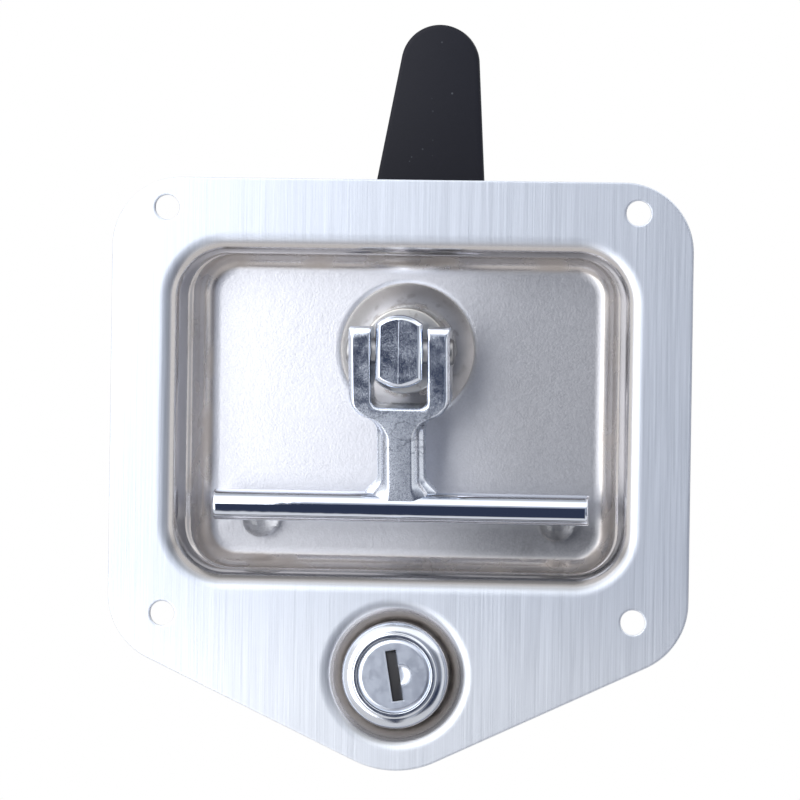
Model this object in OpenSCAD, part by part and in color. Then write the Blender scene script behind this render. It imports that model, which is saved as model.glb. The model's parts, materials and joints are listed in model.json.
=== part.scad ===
// Recessed folding T-handle latch for a trailer door: a pressed plate with a drawn pan,
// a forked T-handle on a turning shaft, a latch cam behind the plate and a key lock.
// Units are millimetres. X runs right, Z runs up, Y runs into the door.
// The origin is the centre of the four screw holes, on the rear (mounting) face of the flange.

/* [Plate] */
// Thickness of the pressed sheet
sheet_t = 1.2; // [0.8:0.1:1.6]
// Width of the flange
flange_w = 130; // [124:1:150]
// Height of the flange's top edge above the screw pattern's centre
flange_top = 52.2; // [50:0.2:62]
// Radius of the two top corners
top_corner_r = 15.5; // [8:0.5:20]
// Radius of the two lower corners
low_corner_r = 16; // [10:0.5:20]
// Radius of the pointed lower end, round the lock
tip_r = 21.4; // [20:0.1:26]
// Rise of the two slanted lower edges
slant_deg = 25.2; // [20:0.2:30]
// Distance of the screw holes from the flange's side edges
hole_in = 12.3; // [9:0.1:14]
// Upright spacing of the screw holes
hole_dz = 90.8; // [84:0.2:92]
// Diameter of the screw holes
hole_d = 5.5; // [4:0.1:6.5]

/* [Pan] */
// Width of the flat flange beside the pan
side_land = 10.8; // [9:0.2:13]
// Height of the drawn pan where it leaves the flange
pan_h = 80.2; // [78:0.2:82]
// Corner radius of the pan where it leaves the flange
pan_corner_r = 15; // [13:0.5:18]
// Depth from the flange's front to the pan floor
pan_depth = 16; // [15:0.5:19]
// Radius rolled over at the pan's rim
pan_rim_r = 4.7; // [3:0.1:5]
// Radius between the walls and the floor
pan_floor_r = 4.7; // [3:0.1:5]
// Draft of the two side walls
side_draft = 17; // [8:1:18]
// Draft of the top and bottom walls
end_draft = 1.5; // [1:0.5:3]

/* [Shaft dish] */
// Height of the shaft axis above the screw pattern's centre
shaft_z = 14; // [12:0.2:14.4]
// Mouth radius of the round dish in the pan floor
dish_r = 16.4; // [15:0.1:16.8]
// Depth of that dish behind the pan floor
dish_depth = 4; // [3.4:0.2:6]
// Radius at the dish's rim
dish_rim_r = 1.5; // [1.4:0.1:1.8]
// Radius at the dish's floor
dish_floor_r = 1.5; // [1:0.1:1.6]
// Draft of the dish's wall
dish_draft = 8; // [4:1:12]

/* [Lock dish] */
// Drop of the lock axis below the screw pattern's centre
lock_drop = 58.1; // [58:0.1:60]
// Mouth radius of the lock dish
lock_dish_r = 17.2; // [17.1:0.05:17.3]
// Depth of the lock dish
lock_dish_depth = 7; // [6.5:0.5:9]
// Radius rolled over at the lock dish's rim
lock_rim_r = 4.2; // [3.5:0.1:4.2]
// Radius at the lock dish's floor
lock_floor_r = 0.8; // [0.5:0.1:1]
// Draft of the lock dish's wall
lock_draft = 4; // [3:0.5:6]

/* [Bush] */
// Outer radius of the bush in front of the dish
bush_r = 9.7; // [9.2:0.1:11]
// Length of the bush in front of the dish floor
bush_len = 10; // [8:0.5:10.2]
// Radius of the bush's spigot through the plate
spigot_r = 8; // [7.4:0.1:8.6]
// Length of the spigot behind the plate
spigot_len = 2.6; // [2:0.2:4]
// Outer radius of the ring that locks the spigot
ring_r = 11.5; // [10.5:0.1:13]
// Thickness of that ring
ring_t = 1.6; // [1:0.1:1.8]

/* [Shaft] */
// Radius of the round shaft
shaft_r = 6; // [5:0.1:6.2]
// Radius of the shaft's head
head_r = 8.15; // [7.8:0.05:8.6]
// Width of the head across its two flats
head_flats = 10.6; // [9.6:0.1:11.4]
// How far the head stands in front of the flange
head_proud = 3.3; // [2:0.1:4]
// Bevel round the head's front
head_bevel = 0.9; // [0.4:0.1:1.2]
// Side of the square behind the bearing
square_w = 8; // [7:0.1:8.2]
// Radius of the threaded end
thread_r = 4; // [3:0.1:4]

/* [Rear stack] */
// Outer radius of the thrust washer
thrust_r = 10.5; // [9.6:0.1:12]
// Thickness of the thrust washer
thrust_t = 1.2; // [0.8:0.1:2]
// Working length of the shaft spring
spring_len = 8.4; // [7:0.2:11]
// Wire diameter of the shaft spring
spring_wire = 1.6; // [1.2:0.1:1.8]
// Turns of the shaft spring
spring_turns = 3; // [2:0.5:3.5]
// Radius of the notched lock disc
disc_r = 17; // [15.5:0.1:17.2]
// Thickness of the lock disc
disc_t = 2.5; // [2:0.1:4]
// Width of the notch that takes the lock's tongue
notch_w = 5.4; // [4.8:0.1:7]
// Depth of that notch
notch_depth = 3.4; // [2.6:0.1:4]
// Thickness of the cam's lock washer
cam_washer_t = 1.5; // [1:0.1:2.5]
// Width of the cam nut across its flats
cam_nut_w = 13; // [12:0.5:15]
// Thickness of the cam nut
cam_nut_t = 6; // [4:0.5:8]

/* [Cam] */
// Length of the cam from the shaft axis to the centre of its round tip
cam_len = 65.5; // [56:0.5:80]
// Radius of the cam's tip
cam_tip_r = 8.9; // [6:0.1:10]
// Radius of the cam's hub
cam_hub_r = 16.8; // [14:0.1:18]
// Thickness of the cam at its crown
cam_t = 4; // [3:0.1:6]
// Fall of the cam's front from its crown to the hub's edge
cam_crown = 0.5; // [0.3:0.05:0.8]
// Lean of the cam from upright
cam_lean = 3.8; // [0:0.2:6]

/* [T-handle] */
// Distance from the pivot pin to the axis of the bar
handle_len = 35.4; // [34:0.1:37]
// Length of the bar
bar_len = 84.4; // [78:0.2:86]
// Diameter of the bar
bar_d = 6.9; // [6:0.1:7.2]
// Depth of the bar's axis behind the flange's front, handle folded
bar_depth = 6.5; // [5:0.1:7.5]
// Depth of the pivot pin's axis behind the flange's front
pin_depth = 1.2; // [0.8:0.1:2]
// Width over the fork
fork_w = 22.6; // [22:0.2:26]
// Clear width between the fork's prongs
fork_gap = 12.6; // [12:0.1:13.2]
// Thickness of the fork, front to rear
fork_t = 8.8; // [8:0.1:9.4]
// Height of the prongs above the pivot pin
prong_rise = 5.6; // [5:0.1:6]
// Depth of the fork's throat below the pivot pin
throat_drop = 12.3; // [11.6:0.1:13.5]
// Radius in the corners of the throat
throat_r = 2.2; // [1:0.1:3]
// Width of the stem at its rear
stem_w = 10.4; // [9:0.1:11.4]
// Width of the stem's flat front
stem_front_w = 5.4; // [4:0.1:6]
// Bevel along the edges of the casting's front
edge_bevel = 1; // [0.5:0.1:1.2]
// Diameter of the pivot pin
pin_d = 6; // [5:0.1:6.2]
// How far each rounded end of the pin stands out of the fork
pin_proud = 0.8; // [0.4:0.1:1.2]

/* [Bumpers] */
// Distance of the bumpers from the ends of the bar
bumper_in = 8.8; // [6:0.2:12]
// Shift of both bumpers to the right of the middle
bumper_shift = 0.8; // [0:0.1:1.5]
// Drop of the bumpers' middles below the bar's axis
bumper_drop = 3.6; // [3:0.1:4.4]
// Radius of the bumpers
bumper_r = 4.05; // [3.5:0.05:4.3]

/* [Lock] */
// How far the lock's bezel stands in front of the flange
bezel_proud = 3.5; // [2:0.1:4.5]
// Radius of the bezel
bezel_r = 12; // [11.6:0.1:12.2]
// Radius of the bezel's lip round the plug
lip_r = 9.2; // [8.8:0.1:9.6]
// Radius of the plug's face
plug_face_r = 8.3; // [8:0.05:8.4]
// Thickness of the plug's face
plug_face_t = 2.2; // [1.8:0.1:3]
// Radius of the plug behind its face
plug_r = 6.8; // [6.5:0.05:7]
// Radius of the lock's barrel
barrel_r = 9.4; // [9:0.1:10]
// Width of the barrel across its two flats
barrel_flats = 16.6; // [16:0.1:18]
// Width of the key slot
key_w = 2.4; // [2.1:0.1:2.5]
// Length of the key slot
key_len = 11.3; // [10:0.1:11.4]
// Lean of the key slot from upright
key_lean = 9.5; // [8.5:0.5:12]
// Radius of the dimple beside the key slot
dimple_r = 2.3; // [1.5:0.1:2.6]
// Width of the lock nut across its flats
lock_nut_w = 23; // [22:0.5:24]
// Thickness of the lock nut
lock_nut_t = 4; // [3:0.5:6]
// Thickness of the lock's toothed washer
lock_washer_t = 0.8; // [0.6:0.1:1.2]
// Number of wafers in the plug
wafer_count = 5; // [3:1:6]
// Thickness of one wafer
wafer_t = 1; // [0.8:0.1:1.4]
// Thickness of the key slot's shutter
shutter_t = 0.4; // [0.3:0.05:0.5]

/* [Tongue] */
// Distance from the lock axis to the tongue's tip
tongue_len = 57.4; // [56.5:0.1:57.8]
// Width of the tongue
tongue_w = 9; // [8.6:0.2:10]
// Radius of the tongue's round tip
tongue_tip_r = 2; // [1.5:0.1:2.2]
// Thickness of the tongue
tongue_t = 2.2; // [1.6:0.1:2.4]
// Side of the square on the plug that drives the tongue
drive_w = 6; // [5.4:0.1:7]
// Radius of the plug's threaded stud
stud_r = 2.9; // [2.4:0.1:2.9]
// Width of the tongue nut across its flats
tongue_nut_w = 10; // [9:0.5:12]
// Thickness of the tongue nut
tongue_nut_t = 4.4; // [3:0.2:5]

/* [Clearances] */
// Radial clearance of turning fits
run_gap = 0.05; // [0.02:0.01:0.1]
// Clearance round pieces that are slipped together and clamped
slip_gap = 0.1; // [0.05:0.01:0.2]
// Room between pieces that pass each other
pass_gap = 0.3; // [0.25:0.05:0.4]

/* [Hidden] */
$fn = 96;

// Overlap of pressed forms with the sheet that they are drawn from
lap = 0.6;
// Steps along each drawn radius, and along each quarter of the pan's corners
radius_steps = 6;
corner_steps = 8;
// Cutters reach this far past what they cut
past = 1;
// Straight sides start this far inside the round corners that they run into
nip = 0.01;
// Thread that shows behind a tightened nut
thread_show = 1.5;

hole_dx = flange_w - 2 * hole_in;
pan_w = flange_w - 2 * side_land;
front_y = -sheet_t;
floor_y = front_y + pan_depth;
dish_y = floor_y + dish_depth;
plate_rear_y = dish_y + sheet_t;
lock_z = -lock_drop;
lock_seat_y = front_y + lock_dish_depth;
lock_rear_y = lock_seat_y + sheet_t;

bush_front_y = dish_y - bush_len;
spigot_end_y = plate_rear_y + spigot_len;
ring_end_y = plate_rear_y + ring_t;
thrust_y = spigot_end_y + run_gap;
spring_start_y = thrust_y + thrust_t;
disc_y = spring_start_y + spring_len;
cam_y = disc_y + disc_t;
cam_rear_y = cam_y + cam_t;
cam_nut_y = cam_rear_y + cam_washer_t;
shaft_end_y = cam_nut_y + cam_nut_t + thread_show;
square_end_y = cam_rear_y - pass_gap;
head_y = front_y - head_proud;
head_rear_y = bush_front_y - slip_gap;

pin_y = front_y + pin_depth;
bar_y = front_y + bar_depth;
handle_tilt = asin((bar_y - pin_y) / handle_len);
bar_z = shaft_z - handle_len * cos(handle_tilt);
bar_r = bar_d / 2;
pin_r = pin_d / 2;

bumper_x = bar_len / 2 - bumper_in;
bumper_z = bar_z - bumper_drop;
bumper_reach = bar_r + bumper_r + pass_gap;
bumper_y = bar_y + sqrt(bumper_reach ^ 2 - bumper_drop ^ 2);

// How far the plug's face lies behind the bezel's lip, and the shutter behind the plug's face
plug_sink = 0.3;
shutter_sink = 0.8;
bezel_y = front_y - bezel_proud;
plug_y = bezel_y + plug_sink;
tongue_y = disc_y + (disc_t - tongue_t) / 2;
barrel_end_y = tongue_y - 2 * pass_gap;
plug_end_y = tongue_y - slip_gap;
drive_end_y = tongue_y + tongue_t - slip_gap;
tongue_washer_t = 1;
tongue_nut_y = tongue_y + tongue_t + tongue_washer_t;
stud_end_y = tongue_nut_y + tongue_nut_t + thread_show;

// Wafers: spacing along the plug, first one behind the lock's seat, width beside the key slot
wafer_pitch = 2.6;
wafer_y = lock_seat_y + 1.5;
wafer_w = key_w + 1.4;

// The shutter's hinge pin: radius, place, and reach past the ends of the key slot
hinge_r = shutter_t * 0.75;
hinge_x = -key_w / 2 + slip_gap;
hinge_y = plug_y + shutter_sink + hinge_r;
hinge_reach = 0.5;

// The casting of the T-handle: heights of the shoulder and the stem's top, size of the flare onto
// the bar, thickness of the stem where it runs into the bar
shoulder_z = -throat_drop + 1.2;
stem_z = shoulder_z - 5.6;
flare = 3;
stem_end_t = bar_d * 0.9;

// Solids that face along Y

// A flat outline in X and Z, from depth y0 to depth y1
module slab(y0, y1) translate([0, y1, 0]) rotate([90, 0, 0]) linear_extrude(y1 - y0) children();

// A profile of radius and depth turned about an axis along Y
module turned(z = 0) translate([0, 0, z]) rotate([-90, 0, 0]) rotate_extrude() children();

// A round bar along Y
module rod(r, y0, y1, z = 0) translate([0, y0, z]) rotate([-90, 0, 0]) cylinder(r = r, h = y1 - y0);

// A round bar along X
module cross_rod(r, half, y = 0, z = 0)
    translate([-half, y, z]) rotate([0, 90, 0]) cylinder(r = r, h = 2 * half);

// A flat ring along Y
module ring(r_in, r_out, y0, y1, z = 0) difference() {
    rod(r_out, y0, y1, z);
    rod(r_in, y0 - past, y1 + past, z);
}

// A square bar along Y
module square_bar(w, y0, y1, z = 0) translate([-w / 2, y0, z - w / 2]) cube([w, y1 - y0, w]);

// A hexagon nut along Y with its front and rear corners turned off, bored to pass a thread
module hex_nut(across, r_in, y0, y1, z = 0) {
    corner = across / sqrt(3);
    face_r = across * 0.48;
    chamfer = (corner - face_r) / 2;
    difference() {
        intersection() {
            translate([0, y0, z]) rotate([-90, 0, 0]) cylinder(r = corner, h = y1 - y0, $fn = 6);
            turned(z) polygon([
                [0, y0], [face_r, y0], [corner + past, y0 + chamfer + past / 2],
                [corner + past, y1 - chamfer - past / 2], [face_r, y1], [0, y1]
            ]);
        }
        rod(r_in, y0 - past, y1 + past, z);
    }
}

// Direction of the line that touches discs a and b on the right of the way from a to b
function touch(a, b) =
    let (d = [b.x - a.x, b.y - a.y])
    atan2(d.y, d.x) - acos((a.z - b.z) / norm(d));

// The point just inside the rim of disc a in a direction
function rim(a, deg) = [a.x + (a.z - nip) * cos(deg), a.y + (a.z - nip) * sin(deg)];

// An outline stretched round discs [x, z, radius] that are listed anticlockwise
module wrap(discs) {
    n = len(discs);
    polygon([
        for (i = [0 : n - 1])
            let (a = discs[i], b = discs[(i + 1) % n], deg = touch(a, b))
            each [rim(a, deg), rim(b, deg)]
    ]);
    for (d = discs) translate([d.x, d.y]) circle(r = d.z);
}

// A rectangle with round corners, centred
module round_rect(w, h, r) wrap([
    for (q = [[1, 1], [-1, 1], [-1, -1], [1, -1]]) [q.x * (w / 2 - r), q.y * (h / 2 - r), r]
]);

// Pressed sheet

// How far a drawn wall has come in at depth d: rim radius, drafted wall, floor radius
function drawn_in(d, depth, rim_r, floor_r, draft) =
    let (
        rim_d = rim_r * (1 - sin(draft)),
        floor_d = floor_r * (1 - sin(draft)),
        wall_in = rim_r * cos(draft),
        wall_run = (depth - rim_d - floor_d) * tan(draft),
        all_in = wall_in + wall_run + floor_r * cos(draft)
    )
    d <= rim_d ? sqrt(max(0, rim_r ^ 2 - (rim_r - d) ^ 2)) :
    d <= depth - floor_d ? wall_in + (d - rim_d) * tan(draft) :
    all_in - sqrt(max(0, floor_r ^ 2 - (floor_r - depth + d) ^ 2));

// Depths at which a drawn wall is sampled, closer together round its radii
function drawn_depths(depth, rim_r, floor_r, draft) = concat(
    [for (i = [0 : radius_steps]) rim_r * (1 - cos(i * (90 - draft) / radius_steps))],
    [for (i = [radius_steps : -1 : 0]) depth - floor_r * (1 - cos(i * (90 - draft) / radius_steps))]
);

// Radius and depth along one face of a round dish, from its mouth to its floor
function dish_face(r, depth, rim_r, floor_r, draft, y0) = [
    for (d = drawn_depths(depth, rim_r, floor_r, draft))
        [r - drawn_in(d, depth, rim_r, floor_r, draft), y0 + d]
];

// A round dish drawn into a sheet whose front is at depth y0, with a plain hole in its floor
module drawn_dish(r, depth, rim_r, floor_r, draft, y0, hole_r, z) {
    front = dish_face(r, depth, rim_r, floor_r, draft, y0);
    rear = dish_face(r, depth, rim_r - sheet_t, floor_r + sheet_t, draft, y0 + sheet_t);
    n = len(rear);
    turned(z) polygon(concat(
        [[r + lap, y0]], front, [[hole_r, y0 + depth], [hole_r, y0 + depth + sheet_t]],
        [for (i = [n - 1 : -1 : 0]) rear[i]], [[r + lap, y0 + sheet_t]]
    ));
}

// One ring of the pan's skin: a rounded rectangle in X and Z at depth y
function pan_ring(half_w, half_h, r, y) = [
    for (q = [0 : 3], i = [0 : corner_steps])
        let (
            deg = 90 * (q + i / corner_steps),
            cx = (q == 0 || q == 3 ? 1 : -1) * (half_w - r),
            cz = (q < 2 ? 1 : -1) * (half_h - r)
        )
        [cx + r * cos(deg), y, cz + r * sin(deg)]
];

// The rings of one skin from the mouth to the floor, with a flat ring outside the mouth
function pan_skin(rim_r, floor_r, y0) =
    let (depths = drawn_depths(pan_depth, rim_r, floor_r, end_draft))
    concat(
        [pan_ring(pan_w / 2 + lap, pan_h / 2 + lap, pan_corner_r + lap, y0)],
        [
            for (d = depths)
                let (
                    in_x = drawn_in(d, pan_depth, rim_r, floor_r, side_draft),
                    in_z = drawn_in(d, pan_depth, rim_r, floor_r, end_draft)
                )
                pan_ring(pan_w / 2 - in_x, pan_h / 2 - in_z, pan_corner_r - (in_x + in_z) / 2, y0 + d)
        ]
    );

// The drawn pan: its front skin from floor to mouth, then its rear skin from mouth to floor
module drawn_pan() {
    front = pan_skin(pan_rim_r, pan_floor_r, front_y);
    rear = pan_skin(pan_rim_r - sheet_t, pan_floor_r + sheet_t, 0);
    levels = len(front);
    rings = concat([for (i = [levels - 1 : -1 : 0]) front[i]], rear);
    m = len(rings[0]);
    last = len(rings) - 1;
    sides = [
        for (k = [0 : last - 1], j = [0 : m - 1])
            let (a = k * m + j, b = k * m + (j + 1) % m)
            each [[a, b, b + m], [a, b + m, a + m]]
    ];
    polyhedron(
        points = [for (r = rings) each r],
        faces = concat([[for (j = [m - 1 : -1 : 0]) j]], sides, [[for (j = [0 : m - 1]) last * m + j]])
    );
}

// The flange's outline: two top corners, the round lower end and two lower corners
module flange_outline() {
    top_x = flange_w / 2 - top_corner_r;
    low_x = flange_w / 2 - low_corner_r;
    low_z = lock_z + (low_x * sin(slant_deg) - tip_r + low_corner_r) / cos(slant_deg);
    wrap([
        [top_x, flange_top - top_corner_r, top_corner_r],
        [-top_x, flange_top - top_corner_r, top_corner_r],
        [-low_x, low_z, low_corner_r],
        [0, lock_z, tip_r],
        [low_x, low_z, low_corner_r]
    ]);
}

module latch_plate() color([0.78, 0.79, 0.80]) difference() {
    union() {
        slab(front_y, 0) difference() {
            flange_outline();
            round_rect(pan_w + lap, pan_h + lap, pan_corner_r + lap / 2);
            translate([0, lock_z]) circle(r = lock_dish_r + lap / 2);
        }
        difference() {
            drawn_pan();
            rod(dish_r + lap / 2, floor_y - past, floor_y + sheet_t + past, shaft_z);
        }
        drawn_dish(dish_r, dish_depth, dish_rim_r, dish_floor_r, dish_draft, floor_y,
                   spigot_r + slip_gap, shaft_z);
        drawn_dish(lock_dish_r, lock_dish_depth, lock_rim_r, lock_floor_r, lock_draft, front_y,
                   barrel_r + slip_gap, lock_z);
    }
    for (sx = [-1, 1], sz = [-1, 1])
        translate([sx * hole_dx / 2, 0, sz * hole_dz / 2]) rod(hole_d / 2, front_y - past, past);
}

// A clear dome on a short foot, stuck to the pan floor under the bar
module bumper(x) color([0.85, 0.87, 0.88, 0.6]) translate([x, 0, 0]) turned(bumper_z) {
    top_y = bumper_y - bumper_r - past;
    intersection() {
        translate([0, bumper_y]) circle(r = bumper_r);
        translate([0, top_y]) square([bumper_r + past, floor_y - top_y]);
    }
    translate([0, bumper_y]) square([bumper_r - nip, floor_y - bumper_y]);
}

module bumper_left() bumper(bumper_shift - bumper_x);
module bumper_right() bumper(bumper_shift + bumper_x);

// Shaft and what carries it

module shaft_bush() color([0.72, 0.71, 0.69]) turned(shaft_z) {
    edge = 0.6;
    bore_r = shaft_r + run_gap;
    polygon([
        [bore_r, bush_front_y], [bush_r - edge, bush_front_y], [bush_r, bush_front_y + edge],
        [bush_r, dish_y], [spigot_r, dish_y], [spigot_r, spigot_end_y], [bore_r, spigot_end_y]
    ]);
}

module bush_ring() color([0.6, 0.6, 0.58])
    ring(spigot_r + slip_gap, ring_r, plate_rear_y, ring_end_y, shaft_z);

// Front view of the head across its flats, bevelled along both flats
module head_flat_form() {
    half = head_flats / 2;
    polygon([
        [-half, head_rear_y], [-half, head_y + head_bevel], [-half + head_bevel, head_y],
        [half - head_bevel, head_y], [half, head_y + head_bevel], [half, head_rear_y]
    ]);
}

module shaft() color([0.8, 0.81, 0.84]) difference() {
    union() {
        intersection() {
            turned(shaft_z) polygon([
                [0, head_y], [head_r - head_bevel, head_y], [head_r, head_y + head_bevel],
                [head_r, head_rear_y], [0, head_rear_y]
            ]);
            translate([0, 0, shaft_z - head_r - past]) linear_extrude(2 * (head_r + past)) head_flat_form();
        }
        rod(shaft_r, head_rear_y - past, disc_y, shaft_z);
        square_bar(square_w, disc_y - past, square_end_y, shaft_z);
        rod(thread_r, square_end_y - past, shaft_end_y, shaft_z);
    }
    cross_rod(pin_r + run_gap, head_r + past, pin_y, shaft_z);
}

module thrust_washer() color([0.7, 0.7, 0.68])
    ring(shaft_r + slip_gap, thrust_r, thrust_y, spring_start_y, shaft_z);

// A round wire swept along a helix between the thrust washer and the lock disc
module shaft_spring() {
    wire_sides = 8;
    turn_steps = 18;
    coil_room = 1;
    wire_r = spring_wire / 2;
    coil_r = shaft_r + wire_r + coil_room;
    pitch_run = spring_len - spring_wire;
    steps = ceil(spring_turns * turn_steps);
    points = [
        for (i = [0 : steps], k = [0 : wire_sides - 1])
            let (
                deg = 360 * spring_turns * i / steps,
                side = 360 * k / wire_sides,
                r = coil_r + wire_r * cos(side)
            )
            [r * cos(deg), spring_start_y + wire_r + pitch_run * i / steps + wire_r * sin(side),
             shaft_z + r * sin(deg)]
    ];
    sides = [
        for (i = [0 : steps - 1], k = [0 : wire_sides - 1])
            let (a = i * wire_sides + k, b = i * wire_sides + (k + 1) % wire_sides)
            each [[a, a + wire_sides, b + wire_sides], [a, b + wire_sides, b]]
    ];
    caps = [
        [for (k = [0 : wire_sides - 1]) k],
        [for (k = [wire_sides - 1 : -1 : 0]) steps * wire_sides + k]
    ];
    color([0.55, 0.55, 0.56]) polyhedron(points = points, faces = concat(sides, caps));
}

// A disc on the shaft's square, with the notch that the lock's tongue drops into
module lock_disc() color([0.66, 0.66, 0.63]) difference() {
    rod(disc_r, disc_y, cam_y, shaft_z);
    square_bar(square_w + 2 * slip_gap, disc_y - past, cam_y + past, shaft_z);
    translate([-notch_w / 2, disc_y - past, shaft_z - disc_r - past])
        cube([notch_w, disc_t + 2 * past, notch_depth + past]);
}

// A tapered arm with a round hub and tip, its front falling away on both sides of a crown line
module latch_cam() color([0.07, 0.08, 0.11]) difference() {
    translate([0, 0, shaft_z]) rotate([0, cam_lean, 0]) difference() {
        slab(cam_y, cam_rear_y) wrap([[0, 0, cam_hub_r], [0, cam_len, cam_tip_r]]);
        for (side = [-1, 1])
            translate([0, cam_y, -cam_hub_r - past])
                rotate([0, 0, side * atan(cam_crown / cam_hub_r)])
                    translate([side < 0 ? -2 * cam_hub_r : 0, -2 * cam_crown - past, 0])
                        cube([2 * cam_hub_r, 2 * cam_crown + past, cam_len + 2 * cam_hub_r + 2 * past]);
    }
    square_bar(square_w + 2 * slip_gap, cam_y - past, cam_rear_y + past, shaft_z);
}

// A split spring washer
module cam_washer() color([0.66, 0.66, 0.63]) difference() {
    split_w = 0.8;
    split_skew = 20;
    ring(thread_r + slip_gap, cam_nut_w / 2, cam_rear_y, cam_nut_y, shaft_z);
    translate([0, cam_rear_y - past, shaft_z]) rotate([0, 0, split_skew])
        cube([split_w, cam_washer_t + 2 * past, cam_nut_w]);
}

module cam_nut() color([0.66, 0.66, 0.63])
    hex_nut(cam_nut_w, thread_r + run_gap, cam_nut_y, cam_nut_y + cam_nut_t, shaft_z);

// T-handle, modelled hanging straight down from its pivot pin and then tilted into the pan

module hung() translate([0, pin_y, shaft_z]) rotate([handle_tilt, 0, 0]) children();

module pivot_pin() color([0.75, 0.76, 0.78]) hung() {
    half = fork_w / 2 + pin_proud;
    rotate([0, 90, 0]) rotate_extrude() polygon([
        [0, -half], [pin_r - pin_proud, -half], [pin_r, -half + pin_proud],
        [pin_r, half - pin_proud], [pin_r - pin_proud, half], [0, half]
    ]);
}

// Front view of the casting: two prongs, shoulders, neck, stem and the flare onto the bar
module handle_front() {
    half = fork_w / 2;
    stem = stem_w / 2;
    bar_top = -handle_len + bar_r;
    shoulder_in = 1.7;
    neck_out = 0.8;
    turn_z = shoulder_z - 2.5;
    neck_z = shoulder_z - 4;
    cut_top = prong_rise + 2 * past + throat_r;
    cut_h = cut_top + throat_drop;
    difference() {
        polygon([
            [half, prong_rise + past], [-half, prong_rise + past],
            [-half, shoulder_z], [-half + shoulder_in, turn_z], [-stem - neck_out, neck_z],
            [-stem, stem_z], [-stem, bar_top + flare], [-stem - flare, bar_top],
            [-stem - flare, -handle_len], [stem + flare, -handle_len],
            [stem + flare, bar_top], [stem, bar_top + flare], [stem, stem_z],
            [stem + neck_out, neck_z], [half - shoulder_in, turn_z], [half, shoulder_z]
        ]);
        translate([0, cut_top - cut_h / 2]) round_rect(fork_gap, cut_h, throat_r);
    }
}

// Side view of the casting: prongs rounded behind the pin and bevelled in front, tapering to the bar
module handle_side() {
    half = fork_t / 2;
    end = stem_end_t / 2;
    prong_bevel = 1.4;
    intersection() {
        circle(r = prong_rise);
        translate([-half + prong_bevel, 0]) square([fork_t - prong_bevel, prong_rise + past]);
    }
    polygon([
        [-half, 0], [-half, prong_rise / 2], [-half + prong_bevel, prong_rise], [0, prong_rise - nip],
        [half, 0], [half, -throat_drop], [end, -handle_len], [-end, -handle_len], [-half, -throat_drop]
    ]);
}

// Wedges that bevel the stem's two front corners and the four front edges of the prongs
module handle_bevels() {
    front = -fork_t / 2;
    fore = stem_front_w / 2;
    outer = stem_w / 2;
    bevel_end = fork_t * 0.7;
    flare_top = -handle_len + bar_r + flare;
    slope = atan((fork_t - stem_end_t) / 2 / (handle_len - throat_drop));
    for (side = [0, 1]) mirror([side, 0, 0]) {
        translate([0, front, -throat_drop]) rotate([-slope, 0, 0])
            translate([0, 0, flare_top + throat_drop]) linear_extrude(stem_z - flare_top) polygon([
                [fore, -past], [fore, 0], [fore + edge_bevel, edge_bevel],
                [outer, bevel_end], [outer + past, bevel_end], [outer + past, -past]
            ]);
        for (edge = [[fork_w / 2, -1], [fork_gap / 2, 1]])
            translate([edge.x, front, shoulder_z]) linear_extrude(throat_drop + prong_rise)
                polygon([
                    [edge.y * edge_bevel, -past], [edge.y * edge_bevel, 0], [0, edge_bevel],
                    [-edge.y * past, edge_bevel], [-edge.y * past, -past]
                ]);
    }
}

module t_handle() color([0.8, 0.81, 0.84]) hung() difference() {
    union() {
        difference() {
            intersection() {
                slab(-fork_t, fork_t) handle_front();
                rotate([90, 0, 90]) translate([0, 0, -fork_w]) linear_extrude(2 * fork_w) handle_side();
            }
            handle_bevels();
        }
        translate([0, 0, -handle_len]) rotate([0, 90, 0]) rotate_extrude() {
            half = bar_len / 2;
            edge = 0.5;
            polygon([
                [0, -half], [bar_r - edge, -half], [bar_r, -half + edge],
                [bar_r, half - edge], [bar_r - edge, half], [0, half]
            ]);
        }
    }
    cross_rod(pin_r + run_gap, fork_w, 0, 0);
}

// Key lock

// Half section of the bezel: a round-shouldered ring with a lip round the plug
module bezel_section() {
    shoulder_y = bezel_y + (lock_seat_y - bezel_y) * 0.45;
    crown_in = bezel_r - lip_r;
    crown_h = shoulder_y - bezel_y - plug_sink;
    crown_steps = 8;
    polygon([
        [0, bezel_y], [lip_r, bezel_y],
        for (i = [1 : crown_steps])
            let (deg = 90 * i / crown_steps)
            [lip_r + crown_in * sin(deg), shoulder_y - crown_h * cos(deg)],
        [bezel_r, lock_seat_y], [0, lock_seat_y]
    ]);
}

module lock_body() color([0.8, 0.81, 0.83]) difference() {
    union() {
        turned(lock_z) bezel_section();
        intersection() {
            rod(barrel_r, lock_seat_y - past, barrel_end_y, lock_z);
            translate([-barrel_flats / 2, lock_seat_y - past, lock_z - barrel_r - past])
                cube([barrel_flats, barrel_end_y, 2 * (barrel_r + past)]);
        }
    }
    rod(plug_face_r + run_gap, bezel_y - past, plug_y + plug_face_t + run_gap, lock_z);
    rod(plug_r + run_gap, plug_y, barrel_end_y + past, lock_z);
}

// A washer with teeth round its rim
module lock_washer() color([0.62, 0.62, 0.6]) difference() {
    ring(barrel_r + slip_gap, lock_nut_w / 2, lock_rear_y, lock_rear_y + lock_washer_t, lock_z);
    teeth = 16;
    tooth_gap = 1;
    for (i = [0 : teeth - 1])
        translate([0, lock_rear_y - past, lock_z]) rotate([0, i * 360 / teeth, 0])
            translate([lock_nut_w / 2 - tooth_gap, 0, -tooth_gap / 2])
                cube([tooth_gap + past, lock_washer_t + 2 * past, tooth_gap]);
}

module lock_nut() color([0.66, 0.66, 0.63])
    hex_nut(lock_nut_w, barrel_r + run_gap, lock_rear_y + lock_washer_t,
            lock_rear_y + lock_washer_t + lock_nut_t, lock_z);

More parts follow.
